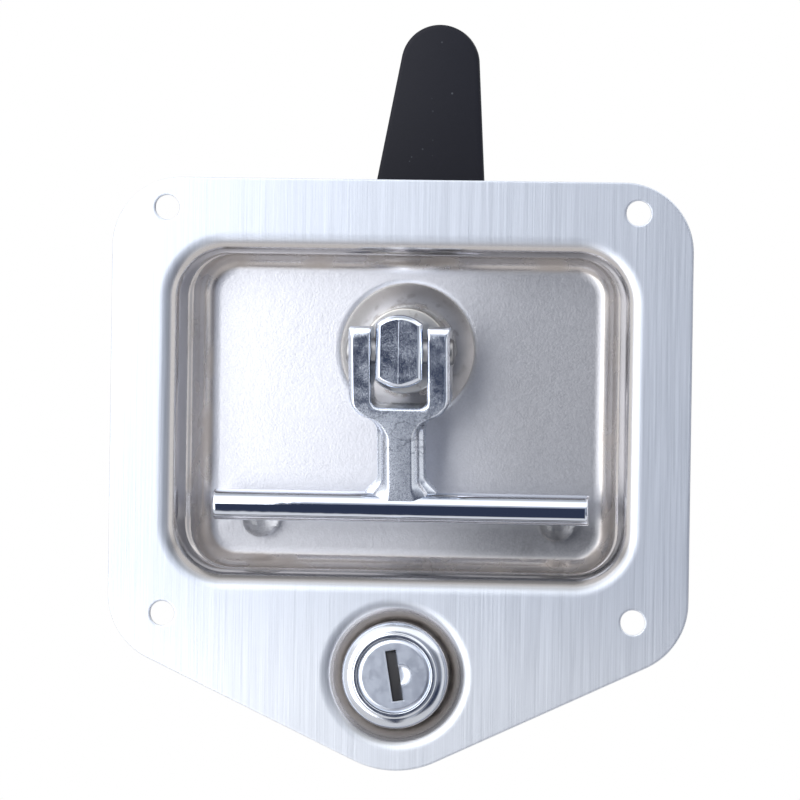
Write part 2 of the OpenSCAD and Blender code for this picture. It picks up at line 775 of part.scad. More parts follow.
// What turns with the key, modelled with the key slot upright and then leaned
module keyed() translate([0, 0, lock_z]) rotate([0, -key_lean, 0]) children();

module lock_plug() color([0.78, 0.79, 0.82]) keyed() {
    face_bevel = 0.7;
    dimple_x = key_w / 2 + 0.2;
    dimple_depth = 0.5;
    pocket_side = 0.6;
    pocket_front = 0.6;
    difference() {
        union() {
            turned() polygon([
                [0, plug_y], [plug_face_r - face_bevel, plug_y], [plug_face_r, plug_y + face_bevel],
                [plug_face_r, plug_y + plug_face_t], [0, plug_y + plug_face_t]
            ]);
            rod(plug_r, plug_y + plug_face_t - past, plug_end_y);
            square_bar(drive_w, plug_end_y - past, drive_end_y);
            rod(stud_r, drive_end_y - past, stud_end_y);
        }
        translate([-key_w / 2, plug_y - past, -key_len / 2])
            cube([key_w, wafer_y + wafer_count * wafer_pitch + past - plug_y, key_len]);
        translate([dimple_x, 0, 0]) rod(dimple_r, plug_y - past, plug_y + dimple_depth);
        for (i = [0 : wafer_count - 1])
            translate([-wafer_w / 2 - slip_gap, wafer_y + i * wafer_pitch - slip_gap, -plug_r - past])
                cube([wafer_w + 2 * slip_gap, wafer_t + 2 * slip_gap, 2 * (plug_r + past)]);
        translate([-key_w / 2 - pocket_side, hinge_y - pocket_front, -key_len / 2])
            cube([key_w / 2, key_w + 2 * pocket_front, key_len]);
        translate([hinge_x, hinge_y, -key_len / 2 - hinge_reach - slip_gap])
            cylinder(r = hinge_r + run_gap, h = key_len + 2 * (hinge_reach + slip_gap));
    }
}

// Sprung plates across the key slot, each with a window for the key at its own height
module wafer_tumblers() color([0.8, 0.68, 0.36]) keyed() {
    wafer_h = 2 * (sqrt(plug_r ^ 2 - (wafer_w / 2) ^ 2) - slip_gap);
    window_h = key_len * 0.72;
    lifts = [0.4, -0.3, 0.2, -0.5, 0.1, 0.3];
    for (i = [0 : wafer_count - 1]) difference() {
        translate([-wafer_w / 2, wafer_y + i * wafer_pitch, -wafer_h / 2])
            cube([wafer_w, wafer_t, wafer_h]);
        translate([-key_w / 2, wafer_y + i * wafer_pitch - past, lifts[i] - window_h / 2])
            cube([key_w, wafer_t + 2 * past, window_h]);
    }
}

// A flap just inside the key slot, on a hinge pin along one edge
module key_shutter() color([0.35, 0.35, 0.36]) keyed() {
    flap_h = key_len - 4 * slip_gap;
    translate([hinge_x, hinge_y - shutter_t / 2, -flap_h / 2])
        cube([key_w / 2 - hinge_x - slip_gap, shutter_t, flap_h]);
    translate([hinge_x, hinge_y, -key_len / 2 - hinge_reach])
        cylinder(r = hinge_r, h = key_len + 2 * hinge_reach);
}

module lock_tongue() color([0.66, 0.66, 0.63]) keyed() difference() {
    eye_r = tongue_w * 0.85;
    slab(tongue_y, tongue_y + tongue_t) {
        circle(r = eye_r);
        wrap([[0, 0, tongue_w / 2], [0, tongue_len - tongue_tip_r, tongue_tip_r]]);
    }
    square_bar(drive_w + 2 * slip_gap, tongue_y - past, tongue_y + tongue_t + past);
}

module tongue_washer() color([0.66, 0.66, 0.63]) keyed() {
    washer_r = tongue_nut_w * 0.6;
    ring(stud_r + slip_gap, washer_r, tongue_y + tongue_t, tongue_nut_y);
}

module tongue_nut() color([0.66, 0.66, 0.63]) keyed()
    hex_nut(tongue_nut_w, stud_r + run_gap, tongue_nut_y, tongue_nut_y + tongue_nut_t);

latch_plate();
bumper_left();
bumper_right();
shaft_bush();
bush_ring();
shaft();
thrust_washer();
shaft_spring();
lock_disc();
latch_cam();
cam_washer();
cam_nut();
pivot_pin();
t_handle();
lock_body();
lock_washer();
lock_nut();
lock_plug();
wafer_tumblers();
key_shutter();
lock_tongue();
tongue_washer();
tongue_nut();
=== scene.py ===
"""Surfaces, finishes and studio of a recessed folding T-handle latch, built round its solids.

Lengths are in metres. X runs to the right, Z up and Y into the door; the front faces -Y.
"""

import json
import math

import bmesh
import bpy
import numpy as np
from mathutils import Matrix, Vector
from mathutils.geometry import delaunay_2d_cdt


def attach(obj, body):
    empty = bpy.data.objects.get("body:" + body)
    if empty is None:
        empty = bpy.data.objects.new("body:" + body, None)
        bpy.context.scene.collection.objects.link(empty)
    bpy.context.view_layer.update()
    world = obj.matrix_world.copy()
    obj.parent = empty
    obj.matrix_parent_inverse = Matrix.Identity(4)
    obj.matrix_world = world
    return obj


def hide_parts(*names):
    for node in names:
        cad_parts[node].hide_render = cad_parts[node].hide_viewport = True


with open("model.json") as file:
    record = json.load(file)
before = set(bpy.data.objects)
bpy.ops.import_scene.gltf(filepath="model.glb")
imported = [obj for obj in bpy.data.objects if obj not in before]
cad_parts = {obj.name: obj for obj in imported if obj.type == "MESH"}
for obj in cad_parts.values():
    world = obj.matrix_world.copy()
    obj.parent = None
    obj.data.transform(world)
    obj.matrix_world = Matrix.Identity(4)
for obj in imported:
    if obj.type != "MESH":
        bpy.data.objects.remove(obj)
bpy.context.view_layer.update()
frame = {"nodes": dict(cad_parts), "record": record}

bl_info = {
    "name": "Recessed T-handle latch",
    "version": (1, 0, 0),
    "blender": (4, 5, 0),
    "location": "3D View > Sidebar > Latch",
    "description": "Surfaces, finishes and studio of a recessed folding T-handle latch",
    "category": "Object",
}

MM = 0.001
TURN = 2 * math.pi


def length(name, text, mm):
    """A length whose default is given in millimetres."""
    return bpy.props.FloatProperty(name=name, description=text, default=mm * MM, unit="LENGTH", precision=5)


def angle(name, text, degrees):
    """An angle whose default is given in degrees."""
    return bpy.props.FloatProperty(
        name=name, description=text, default=math.radians(degrees), subtype="ANGLE")


def share(name, text, value):
    """A plain factor."""
    return bpy.props.FloatProperty(name=name, description=text, default=value, subtype="FACTOR")


def tint(name, text, rgb):
    """A colour."""
    return bpy.props.FloatVectorProperty(
        name=name, description=text, default=rgb, size=3, min=0, max=1, subtype="COLOR")


class PlateSizes(bpy.types.PropertyGroup):
    """Sizes of the pressed plate and its two bumpers."""
    sheet: length("Sheet", "Thickness of the sheet", 1.2)
    edge: length("Edge", "Rounding of the sheared edges", 0.25)
    guard: length("Guard", "Flat strip beside each rounding, which keeps flat faces flat", 0.3)
    close: length("Close guard", "That strip on the pan's floor, where the dish comes near the wall", 0.04)
    width: length("Width", "Width of the flange", 130)
    top: length("Top", "Height of the flange's top edge", 52.2)
    top_corner: length("Top corner", "Radius of the flange's top corners", 15.5)
    low_corner: length("Lower corner", "Radius of the flange's lower corners", 16)
    tip: length("Tip", "Radius of the flange's lower end", 21.4)
    slant: angle("Slant", "Slope of the flange's lower sides", 25.2)
    hole_x: length("Hole across", "Screw holes to each side of the middle", 52.7)
    hole_z: length("Hole up", "Screw holes above and below the middle", 45.4)
    hole_r: length("Hole radius", "Radius of the screw holes", 2.75)
    pan_w: length("Pan width", "Width of the pan's mouth", 108.4)
    pan_h: length("Pan height", "Height of the pan's mouth", 80.2)
    pan_corner: length("Pan corner", "Corner radius of the pan's mouth", 15)
    pan_depth: length("Pan depth", "Depth of the pan", 16)
    pan_rim: length("Pan rim", "Radius that the sheet is drawn over at the mouth", 4.7)
    pan_floor: length("Pan floor", "Radius between the pan's wall and floor", 4.7)
    side_draft: angle("Side draft", "Slope of the pan's side walls", 17)
    end_draft: angle("End draft", "Slope of the pan's upper and lower walls", 1.5)
    dish_r: length("Dish radius", "Radius of the dish round the shaft", 16.4)
    dish_depth: length("Dish depth", "Depth of the dish round the shaft", 4)
    dish_rim: length("Dish rim", "Radius that the dish is drawn over", 3)
    dish_floor: length("Dish floor", "Radius between the dish's wall and floor", 2.5)
    dish_draft: angle("Dish draft", "Slope of the dish's wall", 52)
    dish_hole: length("Dish hole", "Radius of the hole for the bush", 8.1)
    lock_dish_r: length("Lock dish radius", "Radius of the dish round the lock", 17.2)
    lock_dish_depth: length("Lock dish depth", "Depth of the dish round the lock", 7)
    lock_dish_rim: length("Lock dish rim", "Radius that the lock's dish is drawn over", 4.2)
    lock_dish_floor: length("Lock dish floor", "Radius between the lock dish's wall and floor", 1.3)
    lock_dish_draft: angle("Lock dish draft", "Slope of the lock dish's wall", 20)
    lock_hole: length("Lock hole", "Radius of the hole for the lock's barrel", 9.5)
    bumper_x: length("Bumper across", "Bumpers to each side of their middle", 33.4)
    bumper_shift: length("Bumper shift", "Middle of the two bumpers to the right of the plate's", 0.8)
    bumper_z: length("Bumper height", "Height of the bumpers' middles", -24.6)
    bumper_y: length("Bumper depth", "Depth of the domes' middles", 12.22)
    bumper_r: length("Bumper radius", "Radius of the domes", 4.05)
    bumper_sink: length("Bumper sink", "Depth that the domes' feet are bedded into the floor", 0.1)


class HandleSizes(bpy.types.PropertyGroup):
    """Sizes of the T-handle casting and its pivot pin."""
    tilt: angle("Tilt", "Lean of the folded handle into the pan", 8.61)
    length: length("Length", "Pivot pin to the bar's axis", 35.4)
    bar_len: length("Bar length", "Length of the bar", 84.4)
    bar_r: length("Bar radius", "Radius of the bar", 3.45)
    bar_edge: length("Bar edge", "Rounding of the bar's ends", 0.55)
    fork: length("Fork", "Half width over both prongs", 11.3)
    gap: length("Gap", "Half width between the prongs", 6.3)
    thick: length("Thickness", "Half thickness of the fork", 4.27)
    foot: length("Foot", "Half thickness of the stem at the bar", 2.7)
    rise: length("Rise", "Prongs' tops above the pin", 5.6)
    throat: length("Throat", "Throat below the pin", 12.3)
    stem: length("Stem", "Half width of the stem", 5.25)
    soft: length("Soft edge", "Rounding of the casting's edges", 0.3)
    pin_r: length("Pin radius", "Radius of the pivot pin", 3)
    pin_len: length("Pin length", "Half length of the pivot pin", 12.1)
    pin_edge: length("Pin edge", "Rounding of the pin's ends", 0.8)


class ShaftSizes(bpy.types.PropertyGroup):
    """Sizes of the shaft, its bush and spring and the cam that it turns."""
    height: length("Height", "Height of the shaft's axis", 14)
    head_r: length("Head radius", "Radius of the shaft's head", 8.15)
    flats: length("Flats", "Half width across the head's flats", 5.3)
    bevel: length("Bevel", "Bevel round the head's front", 0.9)
    head_y: length("Head front", "Depth of the head's front", -4.5)
    head_rear: length("Head rear", "Depth of the head's rear", 8.7)
    shank: length("Shank", "Radius of the shank", 6)
    square: length("Square", "Half width of the square", 4)
    square_y: length("Square start", "Depth where the square starts", 32.25)
    square_end: length("Square end", "Depth where the square ends", 38.45)
    thread_r: length("Thread", "Radius of the shaft's thread", 4)
    end: length("End", "Depth of the shaft's rear end", 47.75)
    bush_r: length("Bush radius", "Radius of the bush", 9.7)
    bush_y: length("Bush front", "Depth of the bush's front", 8.8)
    bush_seat: length("Bush seat", "Depth of the dish's floor under the bush", 18.8)
    spigot: length("Spigot", "Radius of the bush's spigot", 8)
    spigot_end: length("Spigot end", "Depth of the spigot's rear end", 22.6)
    bore: length("Bore", "Radius of the bush's bore", 6.05)
    coil: length("Coil", "Radius of the spring's middle line", 7.8)
    wire: length("Wire", "Radius of the spring's wire", 0.8)
    coil_y: length("Coil start", "Depth where the spring starts", 23.85)
    coil_len: length("Coil length", "Length of the spring", 8.4)
    turns: share("Turns", "Turns of the spring", 3)
    cam_y: length("Cam front", "Depth of the cam's front", 34.75)
    cam_t: length("Cam thickness", "Thickness of the cam", 4)
    cam_len: length("Cam length", "Shaft's axis to the middle of the cam's tip", 65.5)
    cam_hub: length("Cam hub", "Radius of the cam's hub", 16.8)
    cam_tip: length("Cam tip", "Radius of the cam's tip", 8.9)
    cam_crown: length("Cam crown", "Fall of the cam's front from its middle to its edges", 0.5)
    cam_edge: length("Cam edge", "Rounding of the cam's edges", 0.5)
    cam_lean: angle("Cam lean", "Lean of the cam to the right", 3.8)


class LockSizes(bpy.types.PropertyGroup):
    """Sizes of the key lock."""
    height: length("Height", "Height of the lock's axis", -58.1)
    bezel_r: length("Bezel radius", "Radius of the bezel", 12)
    bezel_y: length("Bezel front", "Depth of the bezel's lip", -4.7)
    crown: length("Crown", "Fall of the bezel's crown from its lip to its side", 2.9)
    lip: length("Lip", "Outer radius of the bezel's lip", 9.2)
    mouth: length("Mouth", "Inner radius of the bezel's lip", 8.35)
    seat: length("Seat", "Depth of the lock's seat", 5.8)
    barrel: length("Barrel", "Radius of the threaded barrel", 9.4)
    flats: length("Flats", "Half width across the barrel's flats", 8.3)
    barrel_end: length("Barrel end", "Depth of the barrel's rear end", 31.8)
    bore: length("Bore", "Radius of the barrel's bore", 6.85)
    face_r: length("Face", "Radius of the plug's face", 8.3)
    face_y: length("Face front", "Depth of the plug's face", -4.4)
    face_t: length("Face thickness", "Thickness of the plug's face", 2.2)
    bevel: length("Bevel", "Bevel round the plug's face", 0.9)
    plug_r: length("Plug", "Radius of the plug behind its face", 6.8)
    plug_end: length("Plug end", "Depth of the plug's rear end", 32.3)
    drive: length("Drive", "Half width of the square that drives the tongue", 3)
    drive_end: length("Drive end", "Depth where that square ends", 34.5)
    stud: length("Stud", "Radius of the plug's stud", 2.9)
    stud_end: length("Stud end", "Depth of the stud's rear end", 41.5)
    key_w: length("Slot width", "Half width of the key slot", 1.2)
    key_h: length("Slot height", "Half height of the key slot", 5.65)
    key_depth: length("Slot depth", "Depth of the key slot", 24)
    key_lean: angle("Slot lean", "Lean of the key slot to the left", 9.5)
    chamfer: length("Chamfer", "Chamfer round the key slot", 0.28)
    dimple_x: length("Dimple across", "Middle of the dimple beside the slot", 1.4)
    dimple_r: length("Dimple radius", "Radius of the dimple", 2.3)
    dimple_depth: length("Dimple depth", "Depth of the dimple", 0.45)


class Colours(bpy.types.PropertyGroup):
    """Colours of the finishes."""
    flange: tint("Flange", "Brushed stainless steel", (0.70, 0.745, 0.83))
    # A lighter copy of the flange's colour: painted light on the flange's lower part.
    flange_painted_light: tint("Lower flange", "Brushed stainless steel below the pan", (0.83, 0.865, 0.925))
    pan: tint("Pan", "Floor of the drawn pan", (0.81, 0.82, 0.87))
    # A darker, warmer copy of the sheet's colour: painted shade on the walls and rims of the pan and dishes.
    wall: tint("Wall", "Burnished walls of the pan and the dishes", (0.63, 0.605, 0.60))
    # Dark brown for dirt round the bush and on the pan's walls, and for painted shade on those walls and
    # round the bezel's foot.
    grime_and_shade: tint("Grime", "Brown grime in the corners", (0.34, 0.285, 0.25))
    silt: tint("Silt", "Pale brown dirt in the lock's dish", (0.76, 0.69, 0.63))
    chrome: tint("Chrome", "Polished chrome plate", (0.74, 0.79, 0.885))
    bush: tint("Bush", "Dull turned metal", (0.60, 0.59, 0.57))
    speck: tint("Speck", "Dark specks on the bush", (0.16, 0.13, 0.11))
    zinc: tint("Zinc", "Zinc plated steel", (0.60, 0.60, 0.57))
    zinc_pale: tint("Pale zinc", "Yellower patches of the zinc plate", (0.64, 0.60, 0.50))
    spring: tint("Spring", "Drawn spring wire", (0.36, 0.36, 0.37))
    bezel: tint("Bezel", "Satin chrome round the lock", (0.68, 0.715, 0.785))
    coat: tint("Coat", "Semi-matt black coat", (0.0150, 0.0160, 0.0235))
    mark: tint("Mark", "Pits and flow marks in the chrome", (0.10, 0.12, 0.18))
    dust: tint("Dust", "Dust on the black coat", (0.10, 0.11, 0.13))
    rubber: tint("Rubber", "Clear rubber", (0.93, 0.93, 0.92))
    brass: tint("Brass", "Stamped brass", (0.72, 0.56, 0.26))
    shutter: tint("Shutter", "Dull dark steel", (0.07, 0.07, 0.074))
    dark_room: tint("Dark room", "What polished faces see towards the camera", (0.035, 0.045, 0.08))
    dark_side: tint("Dark side", "What polished edges see to the right of the camera", (0.24, 0.25, 0.28))
    front_room: tint("Front room", "What faces to the front see beside the camera", (0.42, 0.45, 0.52))
    top_room: tint("Top room", "What faces upwards see", (0.55, 0.56, 0.58))
    right_room: tint("Right room", "What faces to the right see", (0.30, 0.32, 0.36))
    low_room: tint("Low room", "What faces downwards see", (0.80, 0.79, 0.79))
    floor: tint("Floor", "Studio floor", (0.90, 0.90, 0.90))


class LatchSettings(bpy.types.PropertyGroup):
    """All sizes and colours of the latch."""
    plate: bpy.props.PointerProperty(type=PlateSizes, name="Plate", description="Pressed plate")
    handle: bpy.props.PointerProperty(type=HandleSizes, name="Handle", description="T-handle")
    shaft: bpy.props.PointerProperty(type=ShaftSizes, name="Shaft", description="Shaft and cam")
    lock: bpy.props.PointerProperty(type=LockSizes, name="Lock", description="Key lock")
    colours: bpy.props.PointerProperty(type=Colours, name="Colours", description="Finishes")


def grid(points, closed=True):
    """Quads over rows and columns of points; closed joins the last column to the first."""
    points = np.asarray(points, float)
    rows, cols = points.shape[:2]
    start = np.arange(rows - 1)[:, None] * cols
    here = np.arange(cols if closed else cols - 1)[None, :]
    ahead = (here + 1) % cols
    quads = np.stack([start + here, start + ahead, start + cols + ahead, start + cols + here], axis=-1)
    return points.reshape(-1, 3), quads.reshape(-1, 4)


def lift(outline, y):
    """An outline of X and Z taken to depth y."""
    return np.column_stack([outline[:, 0], np.broadcast_to(y, len(outline)), outline[:, 1]])


def circle(r, centre=(0, 0), steps=64):
    """Points round a circle in X and Z."""
    a = np.arange(steps) * TURN / steps
    return np.column_stack([centre[0] + r * np.cos(a), centre[1] + r * np.sin(a)])


def turned(profile, centre=(0, 0), steps=96):
    """A profile of radius and depth turned about an axis along Y: x = r cos a, z = r sin a."""
    profile = np.asarray(profile, float)
    a = np.arange(steps) * TURN / steps
    r, y = profile[:, :1], profile[:, 1:2]
    return grid(np.stack([centre[0] + r * np.cos(a), y + 0 * a, centre[1] + r * np.sin(a)], axis=-1))


def inside(spots, loop):
    """Which spots lie inside a loop: a ray to the right crosses it an odd number of times."""
    ahead = np.roll(loop, -1, axis=0)
    x, y = spots[:, :1], spots[:, 1:]
    spans = (loop[:, 1] > y) != (ahead[:, 1] > y)
    rise = np.where(spans, ahead[:, 1] - loop[:, 1], 1)
    meets = loop[:, 0] + (ahead[:, 0] - loop[:, 0]) * (y - loop[:, 1]) / rise
    return (spans & (x < meets)).sum(axis=1) % 2 == 1


def filled(*loops, flat=(0, 2)):
    """A cover of triangles between an outer loop and the loops inside it, laid out along two axes."""
    points = np.concatenate(loops)
    edges, start = [], 0
    for loop in loops:
        here = np.arange(len(loop))
        edges.append(start + np.column_stack([here, np.roll(here, -1)]))
        start += len(loop)
    made = delaunay_2d_cdt(points[:, flat].tolist(), np.concatenate(edges).tolist(), [], 1, 1e-9)
    if len(made[0]) != len(points):
        raise ValueError("the loops of a cover cross or touch")
    faces = np.array([own[0] for own in made[3]])[np.array(made[2])]
    middles = points[:, flat][faces].mean(axis=1)
    holes = [inside(middles, loop[:, flat]) for loop in loops[1:]]
    return points, faces[~np.any(holes, axis=0)] if holes else faces


def stretched(discs, inset=0, steps=24):
    """The band stretched round discs (x, z, radius) listed anticlockwise, moved inwards by inset.

    Each disc gives an arc between the two directions at which the straight sides touch it.
    """
    discs = np.asarray(discs, float)
    ahead = np.roll(discs, -1, axis=0) - discs
    reach = np.hypot(ahead[:, 0], ahead[:, 1])
    leave = np.arctan2(ahead[:, 1], ahead[:, 0]) - np.arccos(-ahead[:, 2] / reach)
    arrive = np.roll(leave, 1)
    a = arrive[:, None] + ((leave - arrive) % TURN)[:, None] * np.linspace(0, 1, steps)
    r = (discs[:, 2] - inset)[:, None]
    return np.stack([discs[:, :1] + r * np.cos(a), discs[:, 1:2] + r * np.sin(a)], axis=-1).reshape(-1, 2)


def round_rect(half_w, half_h, r, steps=24):
    """A rectangle with round corners in X and Z."""
    x, z = half_w - r, half_h - r
    return stretched([(x, z, r), (-x, z, r), (-x, -z, r), (x, -z, r)], steps=steps)


def rounded(points, radius, steps=5, guard=1.4):
    """A closed outline whose corners are short parabolas between points radius away on both sides.

    A further point at guard times the radius keeps the straight sides straight when shaded smoothly.
    """
    points = np.asarray(points, float)
    radius = np.broadcast_to(radius, len(points))[:, None]
    back = np.roll(points, 1, axis=0) - points
    ahead = np.roll(points, -1, axis=0) - points

    def along(way, far):
        reach = np.linalg.norm(way[:, :2], axis=1, keepdims=True)
        return (points + way * np.minimum(far * radius / reach, 0.34 * far))[:, None]

    t = np.linspace(0, 1, steps)[None, :, None]
    a, b, c = along(back, 1), points[:, None], along(ahead, 1)
    curve = (1 - t) ** 2 * a + 2 * t * (1 - t) * b + t ** 2 * c
    loop = np.concatenate([along(back, guard), curve, along(ahead, guard)], axis=1)
    return loop.reshape(-1, points.shape[1])


def turned_ring(profile, radius, centre=(0, 0), steps=96):
    """A closed profile with rounded corners, turned about an axis along Y."""
    loop = rounded(profile, radius)
    return turned(np.concatenate([loop, loop[:1]]), centre, steps)


def turned_bar(profile, radius, centre=(0, 0), steps=96):
    """A profile from axis to axis with its inner corners rounded, turned about an axis along Y."""
    sizes = np.full(len(profile), radius)
    sizes[0] = sizes[-1] = 1e-9
    loop = rounded(profile, sizes)
    loop[:, 0] = np.maximum(loop[:, 0], 0)
    return turned(loop, centre, steps)


def threaded(r, depth, pitch, y0, y1, centre=(0, 0), flats=None, steps=72):
    """A screw thread: its radius falls by depth in a wave that goes round once for each pitch.

    Flats cut it off at half their width from the axis; its end at y1 tapers in over one pitch.
    """
    rows = int((y1 - y0) / pitch * 10) + 1
    y = np.linspace(y0, y1, rows)[:, None]
    a = np.arange(steps)[None, :] * TURN / steps
    wave = 0.5 + 0.5 * np.cos(TURN * y / pitch - a)
    taper = np.clip((y1 - y) / pitch, 0, 1)
    radius = r - depth * np.maximum(wave ** 1.5, 1 - taper)
    if flats:
        radius = np.minimum(radius, flats / np.maximum(np.abs(np.cos(a)), 1e-6))
    return np.stack([centre[0] + radius * np.cos(a), y + 0 * a, centre[1] + radius * np.sin(a)], axis=-1)


def capped(rows, flat=(0, 2)):
    """A grid of rows closed by a cover at both ends."""
    return [grid(rows), filled(rows[0], flat=flat), filled(rows[-1], flat=flat)]


def square_bar(half, y0, y1, centre, soft):
    """A square bar along Y with rounded long edges."""
    side = rounded([(half, -half), (half, half), (-half, half), (-half, -half)], soft) + np.array(centre)
    return capped(np.stack([lift(side, y) for y in np.linspace(y0, y1, 2)]))


def moved(parts, matrix):
    """Parts turned and moved by a matrix."""
    turn, way = np.array(matrix.to_3x3()), np.array(matrix.translation)
    return [(points @ turn.T + way, faces) for points, faces in parts]


def weld(mesh, crease=None):
    """Merges points that meet, turns the faces outwards and shades smoothly up to the crease angle."""
    work = bmesh.new()
    work.from_mesh(mesh)
    bmesh.ops.remove_doubles(work, verts=work.verts[:], dist=2e-7)
    bmesh.ops.recalc_face_normals(work, faces=work.faces[:])
    work.to_mesh(mesh)
    work.free()
    mesh.validate()
    mesh.shade_smooth()
    if crease:
        mesh.set_sharp_from_angle(angle=math.radians(crease))


def body_of_node(node):
    """The body that a solid belongs to."""
    for body, nodes in frame["record"]["behaviour"]["bodies"].items():
        if node in nodes:
            return body
    raise ValueError("no body holds " + node)


def settle(obj, node):
    """Links an object, has it ride its solid's body in the solid's place and hides the solid."""
    bpy.context.scene.collection.objects.link(obj)
    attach(obj, body_of_node(node))
    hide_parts(node)


def piece(parts, node, material, crease=None):
    """One object welded from parts (points and faces) that stands for a solid."""
    name = node + "_surface"
    points, faces, start = [], [], 0
    for own_points, own_faces in parts:
        points.append(own_points)
        faces.extend((own_faces + start).tolist())
        start += len(own_points)
    mesh = bpy.data.meshes.new(name)
    mesh.from_pydata(np.concatenate(points).tolist(), [], faces)
    weld(mesh, crease)
    mesh.materials.append(material)
    settle(bpy.data.objects.new(name, mesh), node)


def softened(node, material, width):
    """A merged copy of a solid whose edges are rounded by a bevel."""
    name = node + "_surface"
    mesh = frame["nodes"][node].data.copy()
    mesh.name = name
    weld(mesh)
    mesh.materials.clear()
    mesh.materials.append(material)
    obj = bpy.data.objects.new(name, mesh)
    bevel = obj.modifiers.new("Edges", "BEVEL")
    bevel.width = width
    bevel.segments = 2
    bevel.limit_method = "ANGLE"
    bevel.angle_limit = math.radians(35)
    bevel.harden_normals = True
    settle(obj, node)


class Wire:
    """A shader socket that maths can be written with."""

    def __init__(self, tree, socket):
        self.tree, self.socket = tree, socket

    def node(self, kind, settings=None, inputs=None, out=0):
        """Makes a node, sets it up, feeds its inputs and returns one of its outputs."""
        made = self.tree.nodes.new(kind)
        for key, value in (settings or {}).items():
            setattr(made, key, value)
        for key, value in (inputs or {}).items():
            feed(self.tree, made.inputs[key], value)
        return Wire(self.tree, made.outputs[out])

    def math(self, operation, *others):
        """A scalar sum of this socket and other values."""
        inputs = dict(enumerate((self,) + others))
        return self.node("ShaderNodeMath", {"operation": operation}, inputs)

    def __add__(self, other):
        return self.math("ADD", other)

    def __sub__(self, other):
        return self.math("SUBTRACT", other)

    def __mul__(self, other):
        return self.math("MULTIPLY", other)

    def __truediv__(self, other):
        return self.math("DIVIDE", other)

    __radd__, __rmul__ = __add__, __mul__

    def __rsub__(self, other):
        return (self * -1.0).math("ADD", other)

    def __rtruediv__(self, other):
        return self.math("POWER", -1.0) * other

    def __neg__(self):
        return self * -1.0

    def over(self, low, high):
        """0 below low, 1 above high and a smooth ramp between."""
        return self.node("ShaderNodeMapRange", {"interpolation_type": "SMOOTHSTEP"},
                         {"Value": self, "From Min": low, "From Max": high})

    def mix(self, a, b):
        """Colour a where this is 0 and colour b where it is 1."""
        return self.node("ShaderNodeMix", {"data_type": "RGBA"}, {0: self, 6: colour(a), 7: colour(b)}, 2)

    def scaled(self, x, y, z):
        """This vector stretched along each axis."""
        return self.node("ShaderNodeVectorMath", {"operation": "MULTIPLY"}, {0: self, 1: (x, y, z)})

    def part(self, axis):
        """One part of this vector."""
        return self.node("ShaderNodeSeparateXYZ", None, {0: self}, axis)

    def noise(self, scale=1.0, detail=2.0, rough=0.5):
        """Soft noise along this vector."""
        return self.node("ShaderNodeTexNoise", None,
                         {"Vector": self, "Scale": scale, "Detail": detail, "Roughness": rough})

    def specks(self, scale):
        """Distance to the nearest of scattered points."""
        return self.node("ShaderNodeTexVoronoi", None, {"Vector": self, "Scale": scale})

    def bump(self, distance, strength=1.0):
        """A normal that shows this as a height."""
        return self.node("ShaderNodeBump", None,
                         {"Height": self, "Distance": distance, "Strength": strength})


def feed(tree, socket, value):
    """Links a wire to a socket, or sets the socket to a plain value."""
    if isinstance(value, Wire):
        tree.links.new(value.socket, socket)
    else:
        socket.default_value = value


def colour(value):
    """A colour with its fourth channel, or the wire itself."""
    return value if isinstance(value, Wire) else (*value, 1.0)


def finish(name, paint, colours):
    """A material whose inputs come from paint(place, colours), place being object coordinates."""
    material = bpy.data.materials.new(name)
    material.use_nodes = True
    tree = material.node_tree
    shader = tree.nodes["Principled BSDF"]
    place = Wire(tree, tree.nodes.new("ShaderNodeTexCoord").outputs["Object"])
    for key, value in paint(place, colours).items():
        feed(tree, shader.inputs[key], value)
    return material


def band(wire, start, full, fade, end):
    """1 between full and fade, with smooth ramps from start and to end."""
    return wire.over(start, full) * (1.0 - wire.over(fade, end))


def apart(a, b):
    """The distance that two steps at right angles make."""
    return (a * a + b * b).math("SQRT")


